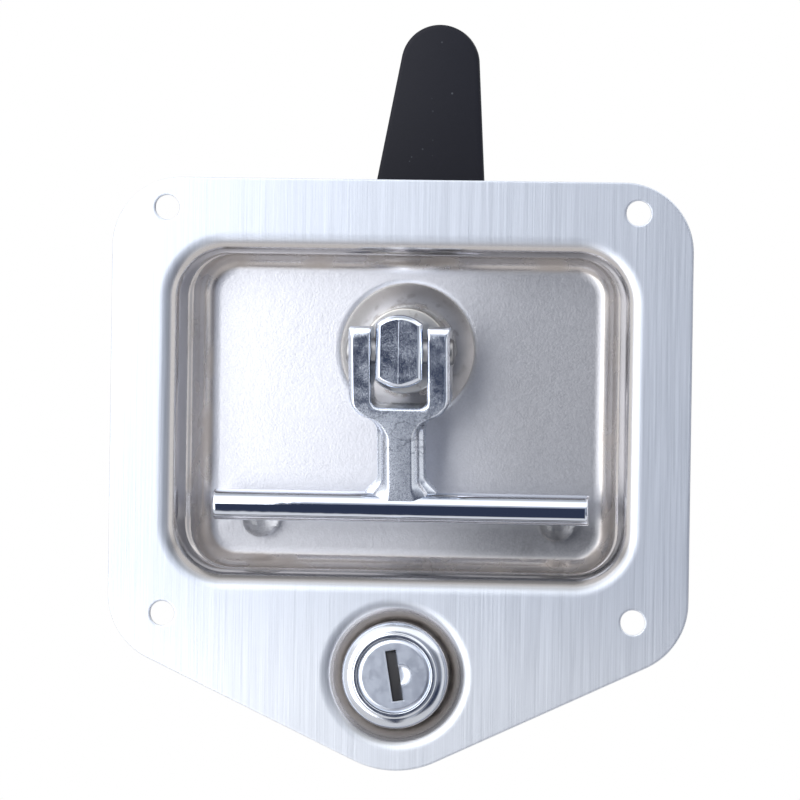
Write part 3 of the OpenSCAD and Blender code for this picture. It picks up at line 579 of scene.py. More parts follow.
def paint_stainless(place, colours):
    """Brushed flange with upright lines and painted light on its lower part, walls with painted shade, a
    floor with orange peel and painted shade, dirt, and painted shade on the lower rims and round the bezel.
    """
    latch = bpy.context.scene.latch
    x, depth, z = (place.part(axis) for axis in range(3))
    flange = 1.0 - depth.over(-0.0011, -0.0002)
    floor = depth.over(0.0143, 0.0147) * (1.0 - depth.over(0.0149, 0.0153))
    wall = 1.0 - flange.math("MAXIMUM", floor)
    lines = place.scaled(3600, 300, 42).noise(detail=2.0) * 0.75 + place.scaled(700, 200, 12).noise() * 0.25
    peel = place.noise(2400, 2.0) * 0.7 + place.noise(700, 1.0) * 0.3
    cloud = place.noise(42, 3.0)
    above_lock = z - latch.lock.height
    from_lock = apart(x, above_lock)
    from_shaft = apart(x, z - latch.shaft.height)
    silt = (1.0 - from_lock.over(0.0155, 0.0180)) * depth.over(-0.0010, 0.0024)
    silt = silt * (0.8 + 0.4 * place.noise(500, 2.0))
    round_bush = band(from_shaft, 0.0094, 0.0098, 0.0102, 0.0112) * place.noise(420, 2.0).over(0.42, 0.62)
    stains = 0.22 + 0.5 * place.noise(110, 3.0).over(0.45, 0.70)
    # Dark brown patches on the pan's deeper walls: dirt, and painted shade in the recess.
    deep_wall_dirt_and_shade = (1.0 - silt) * wall * band(depth, 0.003, 0.010, 0.0146, 0.0152)
    grime_and_shade = round_bush * 0.7 + deep_wall_dirt_and_shade * stains
    # Painted shade on the pan's floor: darker towards the right and low down by the bar, in soft clouds.
    floor_painted_shade = floor * (x.over(-0.004, 0.030) * 0.40 + (-z).over(0.022, 0.027) * 0.26) * (0.75 + cloud * 0.5)
    # Painted shade: a broken dark brown ring in the crease round the bezel's foot.
    foot = band(from_lock, 0.0117, 0.0121, 0.0126, 0.0133)
    foot = foot * (0.3 + 0.7 * place.noise(300, 2.0).over(0.35, 0.6))
    # Painted shade on the lower rims: the pan's rim low down and the lock dish's rim on its lower right are
    # darkened.
    lock_side = (x * 0.6 - above_lock).over(0.0, 0.009) * (1.0 - from_lock.over(0.0185, 0.0200))
    lock_side = lock_side * (1.0 - depth.over(-0.0004, 0.0008))
    pan_side = band(-z, 0.026, 0.031, 0.040, 0.044) * (1.0 - depth.over(0.002, 0.006))
    low_rim_painted_shade = pan_side.math("MAXIMUM", lock_side) * depth.over(-0.00117, -0.0008)
    # Painted light: the flange turns to its lighter colour towards its lower part.
    low = flange * (-z).over(0.030, 0.066)
    bowl = depth.over(0.0149, 0.0153) * (1.0 - from_shaft.over(0.017, 0.018))
    # Walls and rims take the darker wall colour, which is painted shade; the floor and the shaft's dish take
    # the pan's colour.
    tone = floor.math("MAXIMUM", bowl).mix(colours.wall, colours.pan)
    tone = flange.mix(tone, low.mix(colours.flange, colours.flange_painted_light))
    tone = (silt * 0.9).mix((grime_and_shade * 0.75).mix(tone, colours.grime_and_shade), colours.silt)
    tone = (foot * 0.7).mix(tone, colours.grime_and_shade)
    shade = (0.83 + lines * 0.32) * flange + (0.86 + cloud * 0.08 + peel * 0.20 - floor_painted_shade) * (1.0 - flange)
    shade = shade * (1.0 - low_rim_painted_shade * 0.45)
    rough = (0.37 + lines * 0.16) * flange + (0.34 + cloud * 0.10 + peel * 0.08) * floor
    rough = rough + (0.15 + cloud * 0.08 + grime_and_shade * 0.22 + silt * 0.3) * wall
    lit = place.node("ShaderNodeMix", {"data_type": "RGBA", "blend_type": "MULTIPLY"},
                     {0: 1.0, 6: tone, 7: shade}, 2)
    # A shallow step in the drawn walls, shown as shading only.
    ledge = depth.over(0.0052, 0.0086)
    height = lines * flange + peel * floor * 1.9 + peel * wall * 0.15 + ledge * 150.0
    return {"Base Color": lit, "Metallic": 1.0 - grime_and_shade * 0.6 - silt * 0.75, "Roughness": rough,
            "Normal": height.bump(0.00004, 0.6)}


def paint_chrome(place, colours):
    """Chrome over a die casting: polished bar, hazier stem and prongs with pits and dark flow marks."""
    latch = bpy.context.scene.latch
    bar_y = latch.handle.length * math.sin(latch.handle.tilt)
    bar_z = latch.shaft.height - latch.handle.length * math.cos(latch.handle.tilt)
    height = place.part(2)
    bar = 1.0 - apart(place.part(1) - bar_y, height - bar_z).over(0.00347, 0.00352)
    stem = 1.0 - height.over(-0.001, 0.003)
    wave = place.noise(220, 1.0)
    haze = place.noise(2200, 3.0, 0.6).over(0.36, 0.66)
    cloud = place.noise(260, 2.0).over(0.36, 0.64)
    swirl = (place.scaled(130, 130, 260).noise(1.0, 2.0) - 0.5).math("ABSOLUTE")
    flow = (1.0 - swirl.over(0.004, 0.024)) * height.over(-0.0105, -0.0085) * stem
    pits = (1.0 - place.specks(1500).over(0.10, 0.22)) * (1.0 - bar)
    tone = (flow * 0.42 + pits * 0.3).mix(colours.chrome, colours.mark)
    rough = (0.07 + haze * 0.06 + cloud * 0.10 * (1.0 - stem) + stem * 0.13) * (1.0 - bar) + 0.05
    return {"Base Color": tone, "Metallic": 1.0, "Roughness": rough,
            "Normal": (wave + haze * 0.08 * (1.0 - bar)).bump(0.0001, 0.3)}


def paint_head(place, colours):
    """Chrome on the shaft's head: fine haze in soft clouds, pits and a faint upright parting line."""
    haze = place.noise(2600, 3.0, 0.6).over(0.36, 0.66)
    cloud = place.noise(240, 2.0).over(0.36, 0.64)
    seam = (1.0 - place.part(0).math("ABSOLUTE").over(0.00002, 0.00010)) * 0.5
    front = 1.0 - place.part(1).over(-0.0043, -0.0040)
    pits = 1.0 - place.specks(1700).over(0.10, 0.22)
    tone = (pits * front * 0.3).mix(colours.chrome, colours.mark)
    rough = 0.07 + (haze * 0.07 + cloud * 0.08 + seam * 0.10 + 0.03) * front
    return {"Base Color": tone, "Metallic": 1.0, "Roughness": rough,
            "Normal": (haze * 0.12 + cloud * 0.5 + seam * 0.5).bump(0.00006, 0.35)}


def paint_polish(place, colours):
    """Chrome plate with faint waviness and haze."""
    wave = place.noise(300, 1.0)
    haze = place.noise(420, 3.0, 0.6).over(0.35, 0.65)
    return {"Base Color": colour(colours.bezel), "Metallic": 1.0, "Roughness": 0.15 + haze * 0.05,
            "Normal": wave.bump(0.00008, 0.3)}


def paint_plug(place, colours):
    """Satin chrome on the plug's face."""
    haze = place.noise(600, 3.0, 0.6).over(0.35, 0.65)
    return {"Base Color": colour(colours.chrome), "Metallic": 1.0, "Roughness": 0.29 + haze * 0.05}


def paint_bush(place, colours):
    """Dull turned metal with scattered dark specks."""
    grain = place.noise(1800, 3.0)
    spots = place.noise(700, 2.0).over(0.60, 0.70)
    tone = (spots * 0.35).mix(colours.bush, colours.speck)
    return {"Base Color": tone, "Metallic": 1.0, "Roughness": 0.28 + grain * 0.15}


def paint_zinc(place, colours):
    """Zinc plate, slightly yellow and uneven."""
    cloud = place.noise(120, 3.0)
    tone = cloud.over(0.35, 0.7).mix(colours.zinc, colours.zinc_pale)
    return {"Base Color": tone, "Metallic": 1.0, "Roughness": 0.26 + cloud * 0.2,
            "Normal": place.noise(2200, 2.0).bump(0.00002, 0.3)}


def paint_spring(place, colours):
    """Drawn wire."""
    grain = place.noise(2500, 2.0)
    return {"Base Color": colour(colours.spring), "Metallic": 1.0, "Roughness": 0.25 + grain * 0.2}


def paint_coat(place, colours):
    """Semi-matt black coat with a fine texture and a little dust."""
    grain = place.noise(2600, 2.0)
    dust = (1.0 - place.specks(420).over(0.05, 0.13)) * place.noise(160, 1.0).over(0.5, 0.62)
    tone = (dust * 0.7).mix(colours.coat, colours.dust)
    return {"Base Color": tone, "Roughness": 0.42 + grain * 0.16, "Specular IOR Level": 0.16,
            "Normal": grain.bump(0.00004, 0.4)}


def paint_rubber(place, colours):
    """Clear soft rubber."""
    haze = place.noise(500, 2.0)
    return {"Base Color": colour(colours.rubber), "Transmission Weight": 1.0, "IOR": 1.52,
            "Roughness": 0.01 + haze * 0.03}


def paint_brass(place, colours):
    """Stamped brass."""
    grain = place.noise(1500, 2.0)
    return {"Base Color": colour(colours.brass), "Metallic": 1.0, "Roughness": 0.22 + grain * 0.2}


def paint_shutter(place, colours):
    """Dull dark steel."""
    grain = place.noise(2400, 2.0)
    return {"Base Color": colour(colours.shutter), "Metallic": 1.0, "Roughness": 0.4 + grain * 0.2}


PAINTS = {
    "stainless": paint_stainless, "casting": paint_chrome, "head": paint_head, "chrome": paint_polish,
    "plug": paint_plug, "bush_metal": paint_bush,
    "zinc_plate": paint_zinc, "spring_steel": paint_spring, "black_coat": paint_coat,
    "clear_rubber": paint_rubber, "brass": paint_brass, "shutter_steel": paint_shutter,
}


def finish_named(name):
    """The finish of that name, made when first asked for."""
    own = name + "_finish"
    return bpy.data.materials.get(own) or finish(own, PAINTS[name], bpy.context.scene.latch.colours)


def drawn_in(d, depth, rim, floor, draft):
    """How far a drawn wall has come in at depth d: rim radius, drafted wall, floor radius."""
    lean = math.sin(draft)
    rim_d, floor_d = rim * (1 - lean), floor * (1 - lean)
    wall = rim * math.cos(draft)
    whole = wall + (depth - rim_d - floor_d) * math.tan(draft) + floor * math.cos(draft)
    at_rim = np.sqrt(np.maximum(0, rim ** 2 - (rim - d) ** 2))
    at_floor = whole - np.sqrt(np.maximum(0, floor ** 2 - (floor - depth + d) ** 2))
    deep_wall_dirt_and_shade = wall + (d - rim_d) * math.tan(draft)
    return np.where(d <= rim_d, at_rim, np.where(d <= depth - floor_d, deep_wall_dirt_and_shade, at_floor))


def drawn_depths(depth, rim, floor, draft, steps=18):
    """Depths at which a drawn wall is sampled, closer together round its radii."""
    a = np.linspace(0, math.pi / 2 - draft, steps)
    return np.concatenate([rim * (1 - np.cos(a)), depth - floor * (1 - np.cos(a[::-1]))])


def sheared(p, outline_at):
    """Rows round a sheared edge of the flange: outline_at(inset) from its front face to its rear face."""
    fall = np.linspace(0, math.pi / 2, 4)
    inset = np.concatenate([[p.edge + p.guard], p.edge * (1 - np.sin(fall))])
    depth = np.concatenate([[0], p.edge * (1 - np.cos(fall))])
    front = [lift(outline_at(i), d - p.sheet) for i, d in zip(inset, depth)]
    rear = [lift(outline_at(i), -d) for i, d in zip(inset[::-1], depth[::-1])]
    return front + rear


def pan_skin(p, rim, floor, y0):
    """Rows of one skin of the pan, from a flat strip outside its mouth to a flat strip on its floor."""
    depths = drawn_depths(p.pan_depth, rim, floor, p.end_draft)
    in_x = drawn_in(depths, p.pan_depth, rim, floor, p.side_draft)
    in_z = drawn_in(depths, p.pan_depth, rim, floor, p.end_draft)
    in_x = np.concatenate([[-p.guard], in_x, [in_x[-1] + p.close]])
    in_z = np.concatenate([[-p.guard], in_z, [in_z[-1] + p.close]])
    depths = np.concatenate([[0], depths, [p.pan_depth]])
    return [
        lift(round_rect(p.pan_w / 2 - ix, p.pan_h / 2 - iz, p.pan_corner - (ix + iz) / 2), y0 + d)
        for ix, iz, d in zip(in_x, in_z, depths)
    ]


def dish_rows(p, r, depth, rim, floor, draft, hole, y0, guard):
    """Radius and depth over both skins of a round dish, from its front mouth through its hole to the rear."""
    faces = []
    for own_rim, own_floor, start in ((rim, floor, y0), (rim - p.sheet, floor + p.sheet, y0 + p.sheet)):
        d = drawn_depths(depth, own_rim, own_floor, draft)
        radius = r - drawn_in(d, depth, own_rim, own_floor, draft)
        faces.append(np.column_stack([
            np.concatenate([[r + guard], radius, [radius[-1] - guard, hole]]),
            start + np.concatenate([[0], d, [depth, depth]]),
        ]))
    return np.concatenate([faces[0], faces[1][::-1]])


class LATCH_OT_plate(bpy.types.Operator):
    """Makes the pressed plate: flange, drawn pan, dish round the shaft and dish round the lock"""
    bl_idname = "latch.plate"
    bl_label = "Pressed plate"

    def execute(self, context):
        settings = context.scene.latch
        p, lock_z, shaft_z = settings.plate, settings.lock.height, settings.shaft.height
        front = -p.sheet
        low_x = p.width / 2 - p.low_corner
        low_z = lock_z + (low_x * math.sin(p.slant) - p.tip + p.low_corner) / math.cos(p.slant)
        top_x, top_z = p.width / 2 - p.top_corner, p.top - p.top_corner
        discs = [(top_x, top_z, p.top_corner), (-top_x, top_z, p.top_corner),
                 (-low_x, low_z, p.low_corner), (0, lock_z, p.tip), (low_x, low_z, p.low_corner)]
        edges = [sheared(p, lambda i: stretched(discs, i))]
        for sx in (-1, 1):
            for sz in (-1, 1):
                middle = (sx * p.hole_x, sz * p.hole_z)
                edges.append(sheared(p, lambda i: circle(p.hole_r + i, middle, 48)))
        parts = [grid(rows) for rows in edges]

        floor_y = front + p.pan_depth
        skins = [pan_skin(p, p.pan_rim, p.pan_floor, front),
                 pan_skin(p, p.pan_rim - p.sheet, p.pan_floor + p.sheet, 0)]
        parts += [grid(rows) for rows in skins]
        dish = dish_rows(p, p.dish_r, p.dish_depth, p.dish_rim, p.dish_floor,
                         p.dish_draft, p.dish_hole, floor_y, p.close)
        lock = dish_rows(p, p.lock_dish_r, p.lock_dish_depth, p.lock_dish_rim, p.lock_dish_floor,
                         p.lock_dish_draft, p.lock_hole, front, p.guard)
        parts += [turned(dish, (0, shaft_z), 128), turned(lock, (0, lock_z), 128)]
        for row, depth, at in ((0, p.sheet, 0), (1, 0, -1)):
            lock_mouth = lift(circle(p.lock_dish_r + p.guard, (0, lock_z), 128), -depth)
            dish_mouth = lift(circle(p.dish_r + p.close, (0, shaft_z), 128), floor_y + p.sheet - depth)
            parts.append(filled(*[rows[at] for rows in edges], skins[row][0], lock_mouth))
            parts.append(filled(skins[row][-1], dish_mouth))
        piece(parts, "latch_plate", finish_named("stainless"))
        return {"FINISHED"}


class LATCH_OT_bumpers(bpy.types.Operator):
    """Makes the two clear domes under the bar's ends"""
    bl_idname = "latch.bumpers"
    bl_label = "Bumpers"

    def execute(self, context):
        p = context.scene.latch.plate
        floor_y = p.pan_depth - p.sheet
        a = np.linspace(0, math.pi / 2, 20)
        dome = np.column_stack([p.bumper_r * np.sin(a), p.bumper_y - p.bumper_r * np.cos(a)])
        foot_y = floor_y + p.bumper_sink
        profile = np.concatenate([dome, [(p.bumper_r, foot_y), (0, foot_y)]])
        for side, node in ((-1, "bumper_left"), (1, "bumper_right")):
            middle = (p.bumper_shift + side * p.bumper_x, p.bumper_z)
            piece([turned(profile, middle, 64)], node, finish_named("clear_rubber"), 40)
        return {"FINISHED"}


def casting_outlines(h):
    """Rows of the fork and stem: outlines of the front flat and the sides, and the bevel's depth between.

    Each corner is given as side x, side z, front x, front z, bevel depth and corner radius for the right
    half; the left half mirrors it. The corners are rounded and the loop is spread evenly.
    """
    top = h.rise
    bar_top = -h.length + h.bar_r
    shoulder = -h.throat + 1.0 * MM
    neck = shoulder - 4.0 * MM
    right = np.array([
        (h.gap, -h.throat, h.gap + 0.45 * MM, -h.throat - 0.6 * MM, 0.5 * MM, 2.2 * MM),
        (h.gap, top, h.gap + 0.45 * MM, top - 2.0 * MM, 0.9 * MM, 0.3 * MM),
        (h.fork, top, h.fork - 0.9 * MM, top - 2.0 * MM, 1.1 * MM, 0.4 * MM),
        (h.fork, shoulder, h.fork - 1.0 * MM, shoulder - 0.4 * MM, 1.0 * MM, 2.0 * MM),
        (h.fork - 1.8 * MM, shoulder - 2.5 * MM,
         h.fork - 2.8 * MM, shoulder - 2.3 * MM, 1.1 * MM, 1.2 * MM),
        (h.stem + 0.9 * MM, neck, h.stem - 0.9 * MM, neck - 0.2 * MM, 2.0 * MM, 1.2 * MM),
        (h.stem, neck - 2.0 * MM, h.stem - 2.75 * MM, neck - 3.4 * MM, 3.2 * MM, 1.2 * MM),
        (h.stem, bar_top + 3.0 * MM, h.stem - 2.75 * MM, bar_top + 1.2 * MM, 3.2 * MM, 1.0 * MM),
        (h.stem + 3.0 * MM, bar_top, h.stem - 2.6 * MM, bar_top - 0.5 * MM, 2.6 * MM, 0.8 * MM),
        (h.stem + 3.0 * MM, -h.length, h.stem - 2.3 * MM, -h.length + 1.0 * MM, 2.4 * MM, 0.5 * MM),
    ])
    left = right[::-1] * (-1, 1, -1, 1, 1, 1)
    corners = np.concatenate([right, left])
    loop = rounded(corners[:, :5], corners[:, 5], steps=7)
    step = np.linalg.norm(np.roll(loop, -1, axis=0)[:, :2] - loop[:, :2], axis=1)
    way = np.concatenate([[0], np.cumsum(step)])
    at = np.linspace(0, way[-1], 561)[:-1]
    return np.column_stack([np.interp(at, way, np.append(col, col[0])) for col in loop.T])


def casting(h):
    """The fork and stem: front flat, bevel to the sides, sides, and a rounded edge to the rear."""
    loop = casting_outlines(h)
    side, front, bevel = loop[:, :2], loop[:, 2:4], loop[:, 4]
    inward = front - side
    inward /= np.linalg.norm(inward, axis=1, keepdims=True)
    soft = h.soft

    def face(z):
        """Half thickness at height z: full in the fork, tapering down the stem."""
        return np.interp(z, [-h.length, -h.throat], [h.foot, h.thick])

    def rear(z):
        """Depth of the rear face, rounded about the pin above it."""
        return np.minimum(face(z), np.sqrt(np.maximum(h.rise ** 2 - np.clip(z, 0, None) ** 2, 0)))

    rows = []
    for step, sink in ((-1.2, 0), (-0.6, 0.0), (0.0, 0.08)):
        at = front - inward * step * soft
        rows.append(lift(at, -face(front[:, 1]) + sink * soft))
    shelf = np.clip((bevel - 1.2 * MM) / (1.4 * MM), 0, 1)[:, None]
    for fork_t, fork_fall, stem_t, stem_fall in (
            (0.10, 0.05, 0.06, 0.02), (0.50, 0.30, 0.16, 0.08), (0.62, 0.42, 0.50, 0.36),
            (0.80, 0.70, 0.56, 0.44), (0.95, 0.93, 0.62, 0.76), (0.97, 0.96, 0.66, 0.80),
            (0.99, 0.98, 0.94, 0.86), (1.0, 1.0, 1.0, 1.0)):
        at = front + (side - front) * (fork_t + (stem_t - fork_t) * shelf)
        fall = fork_fall + (stem_fall - fork_fall) * shelf[:, 0]
        rows.append(lift(at, -face(at[:, 1]) + bevel * fall))
    room = np.maximum(rear(side[:, 1]) - (bevel - face(side[:, 1])), 3 * soft)
    first = bevel - face(side[:, 1])
    for part in (0.08, 0.5):
        rows.append(lift(side, first + room * part))
    last = first + room
    for inset, back in ((0, 1), (0.3, 0.3), (1.0, 0), (2.0, 0)):
        rows.append(lift(side + inward * inset * soft, last - back * soft))
    return capped(np.stack(rows))


def rod(half, r, edge, steps=96):
    """A round rod along X with rounded ends."""
    bar = turned_bar([(0, -half), (r, -half), (r, half), (0, half)], edge, steps=steps)
    return moved([bar], Matrix.Rotation(math.radians(-90), 4, "Z"))


class LATCH_OT_handle(bpy.types.Operator):
    """Makes the T-handle with its fork, stem and round bar, and the pivot pin"""
    bl_idname = "latch.handle"
    bl_label = "T-handle and pin"

    def execute(self, context):
        settings = context.scene.latch
        h = settings.handle
        hung = Matrix.Translation((0, 0, settings.shaft.height)) @ Matrix.Rotation(h.tilt, 4, "X")
        bar = moved(rod(h.bar_len / 2, h.bar_r, h.bar_edge), Matrix.Translation((0, 0, -h.length)))
        piece(moved(casting(h) + bar, hung), "t_handle", finish_named("casting"))
        pin = rod(h.pin_len, h.pin_r, h.pin_edge, steps=64)
        piece(moved(pin, hung), "pivot_pin", finish_named("spring_steel"))
        return {"FINISHED"}


class LATCH_OT_shaft(bpy.types.Operator):
    """Makes the turning shaft, its bush and its spring"""
    bl_idname = "latch.shaft"
    bl_label = "Shaft, bush and spring"

    def execute(self, context):
        s = context.scene.latch.shaft
        middle = (0, s.height)
        a = np.arange(192) * TURN / 192

        def head_outline(inset):
            r = s.head_r - inset
            return np.column_stack([np.clip(r * np.cos(a), inset - s.flats, s.flats - inset),
                                    s.height + r * np.sin(a)])

        soft = 0.15 * MM
        rows = [lift(head_outline(i), y) for i, y in (
            (s.bevel + 2 * soft, s.head_y), (s.bevel + soft, s.head_y), (s.bevel - soft, s.head_y + soft),
            (soft, s.head_y + s.bevel - soft), (0, s.head_y + s.bevel + soft),
            (0, s.head_y + s.bevel + 3 * soft), (0, s.head_rear))]
        parts = capped(np.stack(rows))
        parts.append(turned_bar([(0, s.head_rear - MM), (s.shank, s.head_rear - MM),
                                 (s.shank, s.square_y), (0, s.square_y)], 0.3 * MM, middle))
        parts += square_bar(s.square, s.square_y - MM, s.square_end, middle, 0.4 * MM)
        parts += capped(threaded(s.thread_r, 0.55 * MM, 1.25 * MM, s.square_end - MM, s.end, middle))
        piece(parts, "shaft", finish_named("head"), 40)

        bush = [(s.bore, s.bush_y), (s.bush_r, s.bush_y), (s.bush_r, s.bush_seat), (s.spigot, s.bush_seat),
                (s.spigot, s.spigot_end), (s.bore, s.spigot_end)]
        piece([turned_ring(bush, 0.5 * MM, middle)], "shaft_bush", finish_named("bush_metal"))

        steps, sides = int(s.turns * 80) + 1, 20
        way = np.linspace(0, 1, steps)[:, None]
        turn = TURN * s.turns * way
        lie = np.arange(sides)[None, :] * TURN / sides
        r = s.coil + s.wire * np.cos(lie)
        y = s.coil_y + s.wire + (s.coil_len - 2 * s.wire) * way + s.wire * np.sin(lie)
        coil = np.stack([r * np.cos(turn), y, s.height + r * np.sin(turn)], axis=-1)
        piece(capped(coil, (0, 1)), "shaft_spring", finish_named("spring_steel"), 50)
        return {"FINISHED"}


class LATCH_OT_cam(bpy.types.Operator):
    """Makes the black cam: a tapered arm with a round hub and tip and a soft crown along its middle"""
    bl_idname = "latch.cam"
    bl_label = "Latch cam"

    def execute(self, context):
        s = context.scene.latch.shaft
        rear = s.cam_y + s.cam_t

        def outline(size, inset=0):
            """The arm's outline drawn in towards its middle line."""
            return stretched([(0, 0, s.cam_hub * size), (0, s.cam_len, s.cam_tip * size)], inset, 64)

        rows = [lift(outline(t), s.cam_y + s.cam_crown * t ** 2) for t in np.linspace(0.02, 0.93, 24)]
        fall = np.linspace(0, math.pi / 2, 7)
        inset, back = s.cam_edge * (1 - np.sin(fall)), s.cam_edge * (1 - np.cos(fall))
        front = s.cam_y + s.cam_crown
        rows += [lift(outline(1, i), front + b) for i, b in zip(inset, back)]
        rows += [lift(outline(1, i), rear - b) for i, b in zip(inset[::-1], back[::-1])]
        rows.append(lift(outline(0.93), rear))
        lean = Matrix.Translation((0, 0, s.height)) @ Matrix.Rotation(s.cam_lean, 4, "Y")
        piece(moved(capped(np.stack(rows)), lean), "latch_cam", finish_named("black_coat"))
        return {"FINISHED"}


def plug_loop(k, grow, steps=25):
    """The key slot with the dimple beside it, as one loop grown outwards, anticlockwise from lower left."""
    w, h, r = k.key_w + grow, k.key_h + grow, k.dimple_r + grow
    cut = math.acos((w - k.dimple_x) / r)
    a = np.linspace(-cut, cut, steps)
    arc = np.column_stack([k.dimple_x + r * np.cos(a), r * np.sin(a)])
    return np.concatenate([[(-w, -h), (w, -h)], arc, [(w, h), (-w, h)]])


class LATCH_OT_lock(bpy.types.Operator):
    """Makes the lock's bezel and barrel and its plug with the key slot and dimple"""
    bl_idname = "latch.lock"
    bl_label = "Key lock"

    def execute(self, context):
        k = context.scene.latch.lock
        middle = (0, k.height)
        shoulder = k.bezel_y + k.crown
        a = np.linspace(0.12, math.pi / 2, 14)
        crown = np.column_stack([k.lip + (k.bezel_r - k.lip) * np.sin(a),
                                 shoulder - (shoulder - k.bezel_y - 0.3 * MM) * np.cos(a)])
        bezel = np.concatenate([
            [(k.mouth, k.seat), (k.mouth, k.bezel_y), (k.lip, k.bezel_y)], crown, [(k.bezel_r, k.seat)]])
        soft = np.concatenate([[0.1, 0.2, 0.25], np.full(len(crown), 0.3), [0.2]]) * MM
        thread = threaded(k.barrel, 0.6 * MM, 1.5 * MM, k.seat - MM, k.barrel_end, middle, k.flats)
        bore = [lift(circle(k.bore, middle, 72), y) for y in (k.seat - MM, k.barrel_end)]
        barrel = np.concatenate([bore[:1], thread, bore[1:], bore[:1]])
        piece([turned_ring(bezel, soft, middle, 128), grid(barrel)], "lock_body",
              finish_named("chrome"), 40)

        front = k.face_y
        flat_r = k.face_r - k.bevel - 0.3 * MM
        outer = [(flat_r, front), (k.face_r - k.bevel - 0.1 * MM, front),
                 (k.face_r - k.bevel + 0.1 * MM, front + 0.06 * MM), (k.face_r - 0.1 * MM, front + 0.4 * MM),
                 (k.face_r, front + 0.6 * MM), (k.face_r, front + k.face_t), (k.plug_r, front + k.face_t),
                 (k.plug_r, k.plug_end), (0, k.plug_end)]
        parts = [turned(outer, steps=128)]
        mouth, lip = plug_loop(k, k.chamfer), plug_loop(k, 0)
        lip_y = front + k.chamfer
        parts.append(filled(lift(circle(flat_r, steps=128), front), lift(mouth, front)))
        parts.append(grid(np.stack([lift(mouth, front), lift(lip, lip_y)])))
        arc = lip[2:-2]
        edge = np.column_stack([np.full(len(arc), k.key_w), np.linspace(arc[0, 1], arc[-1, 1], len(arc))])
        sink = k.dimple_depth * (1 - np.linspace(-1, 1, len(arc)) ** 4)
        t = np.linspace(0, 1, 10)[:, None]
        flat = (1 - t[..., None]) * arc + t[..., None] * edge
        hollow = lip_y + sink * (1 - (1 - t) ** 3)
        dimple = np.concatenate([flat[..., :1], hollow[..., None], flat[..., 1:]], axis=-1)
        parts.append(grid(dimple, closed=False))
        slot = np.concatenate([lip[:2], edge, lip[-2:]])
        slot_y = lip_y + np.concatenate([[0, 0], sink, [0, 0]])
        deep = lift(slot, front + k.key_depth)
        parts += [grid(np.stack([lift(slot, slot_y), deep])), filled(deep)]
        parts += square_bar(k.drive, k.plug_end - MM, k.drive_end, (0, 0), 0.3 * MM)
        parts += capped(threaded(k.stud, 0.4 * MM, 1.0 * MM, k.drive_end - MM, k.stud_end))
        keyed = Matrix.Translation((0, 0, k.height)) @ Matrix.Rotation(-k.key_lean, 4, "Y")
        piece(moved(parts, keyed), "lock_plug", finish_named("plug"), 35)
        return {"FINISHED"}


class LATCH_OT_hardware(bpy.types.Operator):
    """Gives the washers, nuts, discs, tongue and shutter rounded edges and their finishes"""
    bl_idname = "latch.hardware"
    bl_label = "Nuts, washers and small parts"

    def execute(self, context):
        for node, material, width in (
                ("bush_ring", "zinc_plate", 0.2), ("thrust_washer", "zinc_plate", 0.15),
                ("lock_disc", "zinc_plate", 0.25), ("cam_washer", "zinc_plate", 0.15),
                ("cam_nut", "zinc_plate", 0.15), ("lock_washer", "zinc_plate", 0.1),
                ("lock_nut", "zinc_plate", 0.2), ("lock_tongue", "zinc_plate", 0.25),
                ("tongue_washer", "zinc_plate", 0.1), ("tongue_nut", "zinc_plate", 0.15),
                ("key_shutter", "shutter_steel", 0.06)):
            softened(node, finish_named(material), width * MM)
        wafers = frame["nodes"]["wafer_tumblers"]
        wafers.data.materials.clear()
        wafers.data.materials.append(finish_named("brass"))
        return {"FINISHED"}


def lamp(name, place, aim, width, height, power):
    """A soft rectangular lamp that faces a point."""
    light = bpy.data.lights.new(name, "AREA")
    light.shape = "RECTANGLE"
    light.size, light.size_y = width, height
    light.energy = power
    obj = bpy.data.objects.new(name, light)
    obj.location = place
    obj.rotation_euler = (Vector(aim) - Vector(place)).to_track_quat("-Z", "Y").to_euler()
    bpy.context.scene.collection.objects.link(obj)


